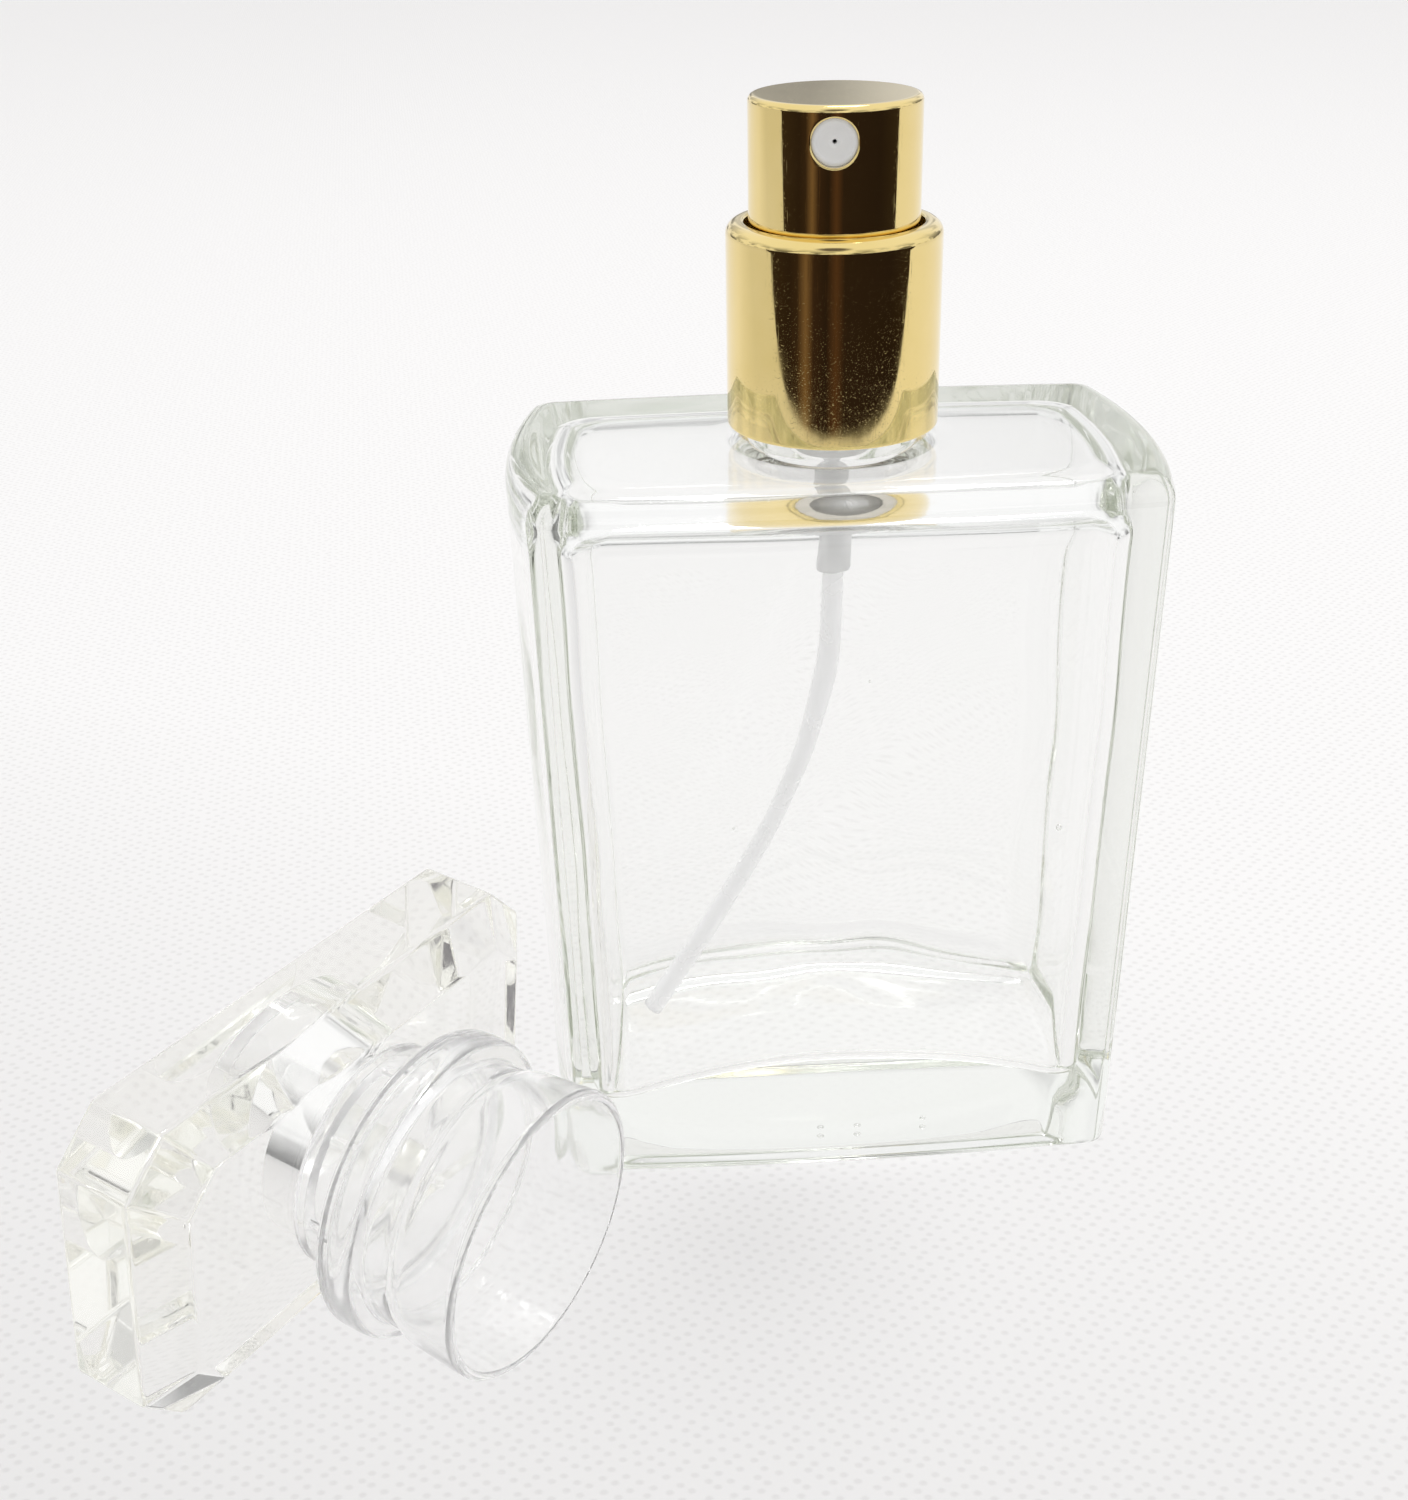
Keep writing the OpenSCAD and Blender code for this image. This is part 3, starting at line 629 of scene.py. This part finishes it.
# %% Gold actuator
ACT_R, ACT_LOW, ACT_TOP, EDGE = 6.95, 81.6, 92.8, 0.5
NOZZLE_Z, NOZZLE_R, HALF = 90.05, 1.85, 2.2      # HALF is half the side of the square left out
NOZZLE_ANGLE = np.radians(-90 - 7.5)
CELLS, ROUND_COLS = 28, 170                      # columns across the square and round the rest
LIP_OUT = np.array([0.14, 0.08, 0.03, 0])        # the hole's lip: how far out from the hole,
LIP_SINK = np.array([0, 0.012, 0.04, 0.11])      # and how deep below the surface
SHEET_MM = 0.36


def actuator_surface():
    """Thimble: angle x height grid up the side, rounded edge and flat top to a pole, with the
    square round the nozzle replaced by rings that morph from square to circle."""
    across = np.linspace(-HALF, HALF, CELLS + 1)
    near = np.arcsin(across / ACT_R)
    rest = np.linspace(near[-1], near[0] + 2 * np.pi, ROUND_COLS)[1:-1]
    angles = NOZZLE_ANGLE + np.concatenate([near, rest])
    low = np.linspace(ACT_LOW, NOZZLE_Z - HALF, 12)[:-1]
    heights = np.concatenate([low, NOZZLE_Z + across])
    arc = np.linspace(0, np.pi / 2, 9)
    edge = np.stack([ACT_R - EDGE * (1 - np.cos(arc)), ACT_TOP - EDGE * (1 - np.sin(arc))], -1)
    top = np.array([[r, ACT_TOP] for r in (ACT_R - EDGE - 0.15, 5.5, 4, 2.5, 1.2, 0.4)])
    side = np.stack([np.full(len(heights), ACT_R), heights], -1)
    rings = turned(np.vstack([side, edge, top]), angles)
    points, quads, tris = skin(rings, last=(0, 0, ACT_TOP))
    cols, first = len(angles), len(low)
    row, col = quads[:, 0] // cols, quads[:, 0] % cols
    quads = quads[~((row >= first) & (row < first + CELLS) & (col < CELLS))]
    k = np.arange(CELLS)
    loop_row = np.concatenate([0 * k, k, 0 * k + CELLS, CELLS - k])
    loop_col = np.concatenate([k, 0 * k + CELLS, CELLS - k, 0 * k])
    border = (first + loop_row) * cols + loop_col
    square = np.stack([across[loop_col], across[loop_row]], -1)
    circle = square / np.linalg.norm(square, axis=1, keepdims=True)
    rim = circle * (NOZZLE_R + LIP_OUT[0])
    flat = [square * (1 - share) + rim * share for share in (0.25, 0.5, 0.75)]
    flat = np.array(flat + [circle * (NOZZLE_R + out) for out in LIP_OUT])
    sink = np.concatenate([[0, 0, 0], LIP_SINK])
    turn = NOZZLE_ANGLE + np.arcsin(flat[..., 0] / ACT_R)
    reach = ACT_R - sink[:, None] + 0 * turn
    patch = np.stack([reach * np.cos(turn), reach * np.sin(turn), NOZZLE_Z + flat[..., 1]], -1)
    size = len(border)
    index = np.vstack([border, len(points) + np.arange(patch.shape[0] * size).reshape(-1, size)])
    after = np.roll(index, -1, 1)
    more = np.stack([index[:-1], after[:-1], after[1:], index[1:]], -1).reshape(-1, 4)
    return np.vstack([points, patch.reshape(-1, 3)]), np.vstack([quads, more]), tris


actuator = make_piece("actuator_gold", actuator_surface(), GOLD)
wall = actuator.modifiers.new("metal_thickness", "SOLIDIFY")
wall.thickness = SHEET_MM * MM
wall.offset = -1
fit_out(actuator, "actuator", "gold_metal", "actuator_shell")

# %% [markdown]
# ## The nozzle insert
# A small moulded button sits in the hole: a raised rim, a shallow dish, and a fine orifice in the
# middle. It is a lathe about its own axis, then carried to the side of the actuator.

# %% Nozzle insert
def to_nozzle(rings):
    """Carries rings about Z to the nozzle: local z goes outwards, local y goes up."""
    x, y, z = rings[..., 0], rings[..., 1], rings[..., 2]
    out = np.array([np.cos(NOZZLE_ANGLE), np.sin(NOZZLE_ANGLE), 0])
    side = np.array([-np.sin(NOZZLE_ANGLE), np.cos(NOZZLE_ANGLE), 0])
    up = np.array([0, 0, 1.0])
    return x[..., None] * side + y[..., None] * up + z[..., None] * out + (0, 0, NOZZLE_Z)


dish = [(0.17, 3.6), (1.83, 3.6), (1.83, 6.4), (1.52, 6.4), (1.3, 6.2), (0.75, 6.12), (0.42, 6.14),
        (0.17, 6.0)]
dish_edges = [0.05, 0.1, 0.12, 0.1, 0.12, 0.2, 0.1, 0.05]
insert = to_nozzle(turned(soften(dish, dish_edges, closed=True), even_angles(96)))
nozzle = make_piece("nozzle_button", skin(insert, joined=True), WHITE)
fit_out(nozzle, "actuator", "white_plastic", "nozzle_insert")

# %% [markdown]
# ## The pump barrel
# Through the shoulder one sees the lower part of the pump. It is moulded round an axis, so it is
# a lathe with a closed section.

# %% Pump barrel
tail_flange_neck = [(0.92, 53.3), (1.45, 53.3), (1.45, 61.2), (4.3, 62.6), (4.3, 75), (6.8, 75),
                    (6.8, 76.2), (4.9, 76.2), (4.9, 79.2), (3.92, 79.2), (3.92, 78.4), (3.3, 78.4)]
chamber_seat_bore = [(3.3, 64), (1.75, 64), (1.75, 65.32), (0.8, 65.32), (0.8, 64.97), (1.25, 64.97),
                     (1.25, 63.3), (0.55, 62.3), (0.55, 55.6), (0.92, 55.6)]
barrel_section = soften(tail_flange_neck + chamber_seat_bore, 0.12, closed=True)
barrel = make_piece("pump_barrel", skin(turned(barrel_section, even_angles(96)), joined=True), NATURAL)
fit_out(barrel, "sprayer", "natural_plastic", "pump_housing")

# %% [markdown]
# ## The dip tube
# The tube hangs from the barrel and draws up the perfume. It is a circle carried along a path:
# straight at first, then two arcs that bring its end to the left corner of the floor.

# %% Dip tube
TUBE_R, TUBE_BORE, TAIL_LOW = 0.9, 0.55, 53.3
TUBE_GAP, TUBE_IN = 0.02, 2.25                   # room in the tail, and how far the tube goes in
UPPER_R, UPPER_BEND, LOWER_R, LOWER_BEND = 55.0, 28.0, 160.0, 7.0


def tube_path():
    """Points and lean of the tube's middle line: two arcs, each along R(cos a - 1), -R sin a."""
    up = np.radians(np.linspace(0, UPPER_BEND, 40))
    down = np.radians(np.linspace(UPPER_BEND, UPPER_BEND + LOWER_BEND, 24))[1:]
    top_z = TAIL_LOW - 0.8
    x1, z1 = UPPER_R * (np.cos(up) - 1), top_z - UPPER_R * np.sin(up)
    x2 = x1[-1] + LOWER_R * (np.cos(down) - np.cos(up[-1]))
    z2 = z1[-1] - LOWER_R * (np.sin(down) - np.sin(up[-1]))
    x = np.concatenate([[0, 0], x1, x2])
    z = np.concatenate([[TAIL_LOW + TUBE_IN, TAIL_LOW], z1, z2])
    return x, z, np.concatenate([[0, 0], up, down])


def tube_rings():
    """Tube wall as one loop of rings: down the outside, then up the bore."""
    x, z, lean = [v[:, None] for v in tube_path()]
    round_it = -even_angles(28)
    walls = []
    for r in (TUBE_R - TUBE_GAP, TUBE_BORE):
        side, y = r * np.cos(round_it), r * np.sin(round_it) + 0 * x
        walls.append(np.stack([x + side * np.cos(lean), y, z - side * np.sin(lean)], -1))
    return np.vstack([walls[0], walls[1][::-1]])


tube = make_piece("dip_tube_smooth", skin(tube_rings(), joined=True), TUBE)
fit_out(tube, "sprayer", "natural_plastic", "dip_tube")

# %% [markdown]
# ## The return spring
# The spring is a wire swept along a helix. A real spring cannot follow the stem as a rigid piece and
# flattens towards the chamber's floor as the actuator is pressed; here it moves with the sprayer and has
# a mesh of its own.

# %% Return spring
COIL_R, WIRE_R, COIL_TURNS, COIL_LOW, COIL_TOP = 2.3, 0.25, 6.5, 64.27, 72.93


def spring_rings():
    """Wire circle carried along a helix: radius + wire x cos, and height + wire x sin. Returns the
    rings and the middles of the first and the last."""
    turn = np.linspace(0, COIL_TURNS * 2 * np.pi, 260)[:, None]
    ring = even_angles(12)
    z = COIL_LOW + (COIL_TOP - COIL_LOW) * turn / turn.max()
    r = COIL_R + WIRE_R * np.cos(ring)
    middle = np.hstack([COIL_R * np.cos(turn), COIL_R * np.sin(turn), z])
    rings = np.stack([r * np.cos(turn), r * np.sin(turn), z + WIRE_R * np.sin(ring)], -1)
    return rings[:, ::-1], middle[0], middle[-1]


spring = make_piece("spring_wire", skin(*spring_rings()), STEEL)
fit_out(spring, "sprayer", "steel", "return_spring")
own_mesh(spring)

# %% [markdown]
# ## The cap
# The cap lies on the table beside the bottle. Its block is clear acrylic with cut corners and
# bevels, and its liner is a stepped sleeve pushed into the block. Both are made upright about
# their own axis and then carried to where the CAD puts them, with the same turns.

# %% Where the cap lies
SIDE_T, BEVEL_T, BEVEL_IN, BLOCK_HALF, CORNER_CUT = 6.9, 2.7, 3.6, (14.0, 24.0), 4.0
BLOCK_T, SOCKET, SOCKET_DEEP, PLUG_R = SIDE_T + 2 * BEVEL_T, 17.3, 9.6, 8.5
CAP_XY, CAP_HEADING, MOUTH_R = (-48.9, -21.4), -35, 12.1


def turn_about(axis, angle):
    """Matrix of a turn about Y (axis 1) or Z (axis 2): cosines on the diagonal, sines off it."""
    first, second = (2, 0) if axis == 1 else (0, 1)
    matrix = np.eye(3)
    matrix[first, first] = matrix[second, second] = np.cos(angle)
    matrix[first, second], matrix[second, first] = -np.sin(angle), np.sin(angle)
    return matrix


def lay_down(points):
    """Moves down the axis by the bevel, leans over by 90 degrees and the cap's tilt, turns to its
    heading and goes to its place on the table."""
    tilt = np.arctan2(BLOCK_HALF[0] - MOUTH_R, BEVEL_T + SOCKET)
    turn = turn_about(2, np.radians(CAP_HEADING)) @ turn_about(1, np.pi / 2 + tilt)
    lift = SIDE_T * np.sin(tilt) + BLOCK_HALF[0] * np.cos(tilt)
    return (points - (0, 0, BEVEL_T)) @ turn.T + (*CAP_XY, lift)


def lay_surface(surface):
    return lay_down(surface[0]), surface[1], surface[2]


# %% [markdown]
# ### The block
# Every ring of the block has the same number of points, placed the same way round the octagon.
# So rings of different size join without twisting, and the front face can lead from the
# octagon to the round bore. Edges are rounded by only a few tenths of a millimetre, which is
# what lets them catch light.

# %% Cap block
def octagon(inset):
    """Corners of the cut-cornered rectangle, pulled in by inset. One octagon per row."""
    x, y = BLOCK_HALF[0] - inset, BLOCK_HALF[1] - inset
    c = CORNER_CUT - 0.3 * inset
    xs = [x, x - c, c - x, -x, -x, c - x, x - c, x]
    ys = [y - c, y, y, y - c, c - y, -y, -y, c - y]
    return np.stack([np.stack(xs, -1), np.stack(ys, -1)], -1)


def octagon_ring(inset, size=0.3):
    """Octagon rows with rounded corners and evenly divided sides, always 8 x (curve + side) points."""
    p = octagon(np.asarray(inset, float))
    before, after = np.roll(p, 1, -2) - p, np.roll(p, -1, -2) - p
    before /= np.linalg.norm(before, axis=-1, keepdims=True)
    after /= np.linalg.norm(after, axis=-1, keepdims=True)
    t = np.linspace(0, 1, 6)[:, None]
    a, b = (p + before * size)[..., None, :], (p + after * size)[..., None, :]
    curve = (1 - t) ** 2 * a + 2 * t * (1 - t) * p[..., None, :] + t**2 * b
    along = np.concatenate([[0.02], np.linspace(0.06, 0.94, 18), [0.98]])[:, None]
    side = b * (1 - along) + np.roll(a, -1, -3) * along
    return np.concatenate([curve, side], -2).reshape(*p.shape[:-2], -1, 2)


def block_surface():
    """From the middle of the back face, over the bevels to the front face, then down the bore."""
    low, high = BLOCK_T - SOCKET_DEEP - 0.04, BLOCK_T
    half = [(BEVEL_IN + 2, 0), (BEVEL_IN, 0), (0, BEVEL_T)]
    path = soften(half + [(inset, BLOCK_T - z) for inset, z in half[::-1]], 0.3, steps=6)
    back = np.array([0.05, 0.3, 0.6, 0.9])[:, None, None] * octagon_ring(path[0, 0])[None]
    outside = octagon_ring(path[:, 0])
    edge = outside[-1]
    circle = edge / np.linalg.norm(edge, axis=-1, keepdims=True)
    bore = PLUG_R + 0.06
    share = np.array([0.2, 0.4, 0.6, 0.8, 0.95])[:, None, None]
    face = edge * (1 - share) + circle * (bore + 0.15) * share
    well = soften([(bore + 0.5, high), (bore, high), (bore, low), (0.3, low)], 0.12, steps=5)[1:]
    inner = circle * well[:, 0][:, None, None]
    flat = np.concatenate([back, outside, face, inner])
    height = np.concatenate([np.zeros(4), path[:, 1], np.full(5, high), well[:, 1]])
    rings = np.concatenate([flat, np.broadcast_to(height[:, None, None], (*flat.shape[:2], 1))], -1)
    return skin(rings, first=(0, 0, 0), last=(0, 0, low))


block = make_piece("cap_block_clear", lay_surface(block_surface()), ACRYLIC)
fit_out(block, "cap", "clear_acrylic", "cap_block")

# %% [markdown]
# ### The liner
# The sleeve has a plug, a neck, a rounded ring, a groove and an open skirt. Eight short ribs
# inside it grip the collar: the bore's radius dips at eight angles over a short height.

# %% Cap liner
GRIP_R, RIB_HEIGHT = 8.92, 0.08


def liner_surface():
    """Lathe from the plug's end, up the outside to the mouth and back down the bores. A rib takes
    its height off the grip's radius where the arc from its middle is shorter than half its width."""
    face, mouth_z, low = BLOCK_T, BLOCK_T + SOCKET, BLOCK_T - SOCKET_DEEP
    ring_a, ring_b = face + 4.6, face + 8.0
    skirt = ring_b + 2.6
    rib_low, rib_top = face + 1.5, face + 4.5
    plug = [(0.3, low), (PLUG_R, low), (PLUG_R, face + 0.04), (9.6, face + 0.04), (9.6, ring_a)]
    skirt_outside = [(12.8, ring_a), (12.8, ring_b), (11.2, ring_b + 0.3), (11.2, skirt),
                     (11.7, skirt + 1), (MOUTH_R, mouth_z - 0.3), (11.8, mouth_z)]
    skirt_inside = [(11.3, mouth_z), (10.8, skirt + 1.2), (10.3, ring_b + 2), (10.3, ring_a + 0.4)]
    grip_rows = [ring_a, rib_top + 0.3, rib_top - 0.2, rib_low + 0.2, rib_low - 0.3, face + 0.8]
    bores = [(GRIP_R, z) for z in grip_rows] + [(7.45, face + 0.8), (7.45, low + 0.8), (0.3, low + 0.8)]
    corners = plug + skirt_outside + skirt_inside + bores
    sizes = [0.1, 0.2, 0.1, 0.1, 0.25, 1.1, 1.1, 0.3, 0.3, 0.4, 0.2, 0.2, 0.2, 0.4, 0.4, 0.3, 0.1]
    sizes += [0.1] * 4 + [0.2, 0.2, 0.3, 0.1]
    profile = soften(corners, sizes, steps=7)
    angles = even_angles(320)
    rings = turned(profile, angles)
    radius, z = profile[:, :1], profile[:, 1:]
    grip = (np.abs(radius - GRIP_R) < 0.001) & (z > rib_low) & (z < rib_top)
    off_rib = np.abs((angles + np.pi / 8) % (np.pi / 4) - np.pi / 8) * GRIP_R
    dip = RIB_HEIGHT * grip * (1 - blend_step(0.15, 0.4, off_rib))
    rings[..., :2] *= (1 - dip / GRIP_R)[..., None]
    return skin(rings, first=(0, 0, low), last=(0, 0, low + 0.8))


liner = make_piece("cap_liner_clear", lay_surface(liner_surface()), LINER)
fit_out(liner, "cap", "clear_plastic", "cap_liner")

# %% [markdown]
# Glass, acrylic and the thin tube let nearly all light through. So they cast no shadow, and light
# that other surfaces scatter passes them by. What the camera sees in them stays fully refracted.

# %% Clear pieces and light
for clear in (bottle, block, liner, tube):
    clear.visible_shadow = False
    clear.visible_diffuse = False
print("Clear to scattered light:", [piece.name for piece in (bottle, block, liner, tube)])

# %% [markdown]
# ## Finishes of the carried-over nodes
# The pieces inside the closure are simple turned shapes that hardly show, so their CAD meshes
# stay and only take a finish.

# %% Finishes of the CAD nodes
CARRIED = {"neck_gasket": FOAM, "screw_closure": IVORY, "pump_turret": WHITE, "stem_seal": RUBBER,
           "inlet_ball": STEEL, "piston": WHITE, "stem": WHITE, "actuator_core": IVORY}
for name, material in CARRIED.items():
    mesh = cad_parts[name].data
    mesh.materials.clear()
    mesh.materials.append(material)
print("Carried over:", sorted(CARRIED))

# %% [markdown]
# ## Floor
# The bottle stands on white dimpled paper. Its dimples are a cell texture that lowers the surface and
# darkens it with painted shade, because modelled ones would need millions of faces.

# %% Floor
CELL_MM, POOL_MM, POOL_GLOW = (1.35, 1.1), (26, 15), 0.08


def paper_material():
    """White paper with staggered dimples: cells a millimetre and a bit apart, lower near each
    cell's middle and darker there with painted shade. Painted shade also makes its tone fall off towards
    the front left, and a faint glow under the bottle is painted light for the light that the thick base
    gathers there."""
    material, tree, shader = new_material("dimpled_paper")
    shader.inputs["Roughness"].default_value = 0.85
    shader.inputs["Specular IOR Level"].default_value = 0.2
    shader.inputs["Emission Color"].default_value = (1, 1, 1, 1)
    where = add_node(tree, "TexCoord")
    place = add_node(tree, "Mapping", Rotation=(0, 0, np.radians(41)),
                     Scale=(1 / (CELL_MM[0] * MM), 1 / (CELL_MM[1] * MM), 1))
    cells = add_node(tree, "TexVoronoi", voronoi_dimensions="2D", Scale=1, Randomness=0.35)
    # Painted shade: near each cell's middle this mask darkens the paper from 0.875 to 0.80, where a real
    # pit holds shade, and the bump lowers it.
    pit_depth_and_shade = map_range(tree, 0.08, 0.34, curve="SMOOTHSTEP")
    tint = colour_mix(tree, (0.80, 0.788, 0.785), (0.875, 0.866, 0.863))
    bump = add_node(tree, "Bump", Strength=0.35, Distance=0.1 * MM)
    wire(tree, (where, "Object", place, "Vector"), (place, "Vector", cells, "Vector"),
         (cells, "Distance", pit_depth_and_shade, "Value"), (pit_depth_and_shade, "Result", tint, 0), (pit_depth_and_shade, "Result", bump, "Height"),
         (bump, "Normal", shader, "Normal"))
    # Painted shade: the paper's tone is scaled from 1.055 at the back right down to 0.87 towards the
    # front left, where less light falls.
    toward = vector_math(tree, "DOT_PRODUCT", (-0.5, -0.85, 0))
    fall = map_range(tree, -0.04, 0.11, 1.055, 0.87)
    painted_shade_tone = vector_math(tree, "SCALE")
    wire(tree, (where, "Object", toward, 0), (toward, "Value", fall, "Value"), (tint, 2, painted_shade_tone, 0),
         (fall, "Result", painted_shade_tone, "Scale"), (painted_shade_tone, 0, shader, "Base Color"))
    # Painted light: a faint emission pool under the bottle, for the light that its thick base gathers on
    # the paper.
    squash = add_node(tree, "Mapping", Scale=(1 / (POOL_MM[0] * MM), 1 / (POOL_MM[1] * MM), 0))
    reach = vector_math(tree, "LENGTH")
    pool = map_range(tree, 1.25, 0.7, 0, POOL_GLOW, curve="SMOOTHSTEP")
    wire(tree, (where, "Object", squash, "Vector"), (squash, "Vector", reach, 0),
         (reach, "Value", pool, "Value"), (pool, "Result", shader, "Emission Strength"))
    return material


def sheet(name, half, height, material):
    """A square sheet of half-width half at a height, in millimetres, as one small grid."""
    x, y = np.meshgrid(np.linspace(-half, half, 5), np.linspace(-half, half, 5))
    points = np.stack([x, y, 0 * x + height], -1).reshape(-1, 3)
    i = (np.arange(4)[:, None] * 5 + np.arange(4)).ravel()
    quads = np.stack([i, i + 1, i + 6, i + 5], -1)
    return make_piece(name, (points, quads, np.empty((0, 3), int)), material)


floor = sheet("paper_floor", 4000, -0.03, paper_material())

# %% [markdown]
# ## The dark side of the room, painted for reflections
# A polished gold tube needs something dark to reflect, or it looks like plain yellow plastic. A
# dark sheet in front, which only reflections can see, is painted shade standing for a room's unlit side,
# and its faint streaks are painted reflections.

# %% Dark sheet for the reflections
REFLECTION_GLOW, SHEET_Z = 0.75, 0.5
# Painted reflections: the faint glowing streaks of the dark sheet, by angle round the bottle.
REFLECTED_STREAKS = [(0.0, (0.06, 0.04, 0.025)), (0.2, (0.035, 0.022, 0.016)), (0.25, (0.05, 0.03, 0.02)),
           (0.30, (0.24, 0.15, 0.09)), (0.345, (0.05, 0.028, 0.02)), (0.42, (0.03, 0.019, 0.015)),
           (0.475, (0.11, 0.055, 0.032)), (0.525, (0.035, 0.022, 0.017)), (0.8, (0.028, 0.018, 0.015)),
           (1.0, (0.05, 0.035, 0.022))]


def painted_reflection_material():
    """Painted reflection: very dark brown that glows faintly in streaks, by the angle round the bottle,
    and is seen only in reflections.
    """
    material, tree, _ = new_material("painted_dark_reflection")
    tree.nodes.clear()
    output = add_node(tree, "OutputMaterial")
    glow = add_node(tree, "Emission", Strength=REFLECTION_GLOW)
    where = add_node(tree, "TexCoord")
    split = add_node(tree, "SeparateXYZ")
    angle = add_node(tree, "Math", operation="ARCTAN2")
    spread = map_range(tree, np.radians(-180), 0)
    ramp = add_node(tree, "ValToRGB")
    elements = ramp.color_ramp.elements
    while len(elements) < len(REFLECTED_STREAKS):
        elements.new(0.5)
    for element, (position, colour) in zip(elements, REFLECTED_STREAKS):
        element.position = position
        element.color = (*colour, 1)
    wire(tree, (where, "Object", split, 0), (split, "Y", angle, 0), (split, "X", angle, 1),
         (angle, 0, spread, "Value"), (spread, "Result", ramp, "Fac"), (ramp, "Color", glow, "Color"),
         (glow, 0, output, "Surface"))
    return material


def dark_sector():
    """Part of a ring on the table in front: radius x angle grid, narrower and rounded close by."""
    radius = np.array([222.0, 224, 228, 234, 242, 255, 275, 300, 350, 420, 600, 1100, 2500])[:, None]
    half = np.array([12.0, 26, 37, 46, 54, 61, 67, 71, 76, 79, 82, 83.5, 83.5])[:, None]
    angle = np.radians(-88.5 + half * np.linspace(-1, 1, 60))
    points = np.stack([radius * np.cos(angle), radius * np.sin(angle), SHEET_Z + 0 * radius * angle], -1)
    rows, cols = points.shape[:2]
    i = (np.arange(rows - 1)[:, None] * cols + np.arange(cols - 1)).ravel()
    quads = np.stack([i, i + cols, i + cols + 1, i + 1], -1)
    return points.reshape(-1, 3), quads, np.empty((0, 3), int)


dark = make_piece("dark_sheet", dark_sector(), painted_reflection_material())
# Painted shade: the dark sheet is hidden from all rays but reflections.
for way in ("camera", "diffuse", "transmission", "shadow", "volume_scatter"):
    setattr(dark, "visible_" + way, False)

# %% [markdown]
# ## World and lamps
# White walls all round give the even light in which clear glass shows its edges. One soft lamp
# above adds a gentle direction, and light may bounce many times inside the thick glass.

# %% World and lamps
def white_world():
    """White light from above that grows uneven near the horizon, as a room's walls are, with a dim
    patch high in front. The camera itself sees the plain tone of the walls."""
    world = bpy.data.worlds.new("studio")
    bpy.context.scene.world = world
    world.use_nodes = True
    tree = world.node_tree
    back = tree.nodes["Background"]
    back.inputs["Strength"].default_value = 1.0
    where = add_node(tree, "TexCoord")
    toward = vector_math(tree, "DOT_PRODUCT", (-0.10, -0.78, 0.61))
    patch = map_range(tree, np.cos(np.radians(21)), np.cos(np.radians(9)), curve="SMOOTHSTEP")
    tint = colour_mix(tree, None, (0.16, 0.15, 0.17))
    height = add_node(tree, "SeparateXYZ")
    rise = map_range(tree, 0, 0.55)
    uneven = add_node(tree, "TexNoise", Scale=3.6)
    walls = map_range(tree, 0.44, 0.56, 0.12, 0.95)
    room = add_node(tree, "Mix", B=1.0)
    path = add_node(tree, "LightPath")
    seen = colour_mix(tree, None, (0.85, 0.85, 0.85))
    wire(tree, (where, "Generated", height, 0), (height, "Z", rise, "Value"),
         (where, "Generated", uneven, "Vector"), (uneven, "Fac", walls, "Value"),
         (rise, "Result", room, "Factor"), (walls, "Result", room, "A"), (room, "Result", tint, 6))
    wire(tree, (where, "Generated", toward, 0), (toward, "Value", patch, "Value"),
         (patch, "Result", tint, 0), (path, "Is Camera Ray", seen, 0), (tint, 2, seen, 6),
         (seen, 2, back, "Color"))
    return world


def softbox(name, place, aim, size, power):
    """Square area lamp that faces the point aim."""
    lamp = bpy.data.lights.new(name, "AREA")
    lamp.size = size
    lamp.energy = power
    item = bpy.data.objects.new(name, lamp)
    direction = np.array(aim) - np.array(place)
    item.rotation_euler = Vector(direction).to_track_quat("-Z", "Y").to_euler()
    item.location = place
    bpy.context.scene.collection.objects.link(item)
    return item


white_world()
softbox("overhead_softbox", (0.1, 0.25, 0.8), (0.02, 0.06, 0), 0.22, 1.0)
bpy.context.scene.view_settings.view_transform = "Standard"
for kind in ("max_bounces", "transmission_bounces", "glossy_bounces"):
    setattr(bpy.context.scene.cycles, kind, 64)
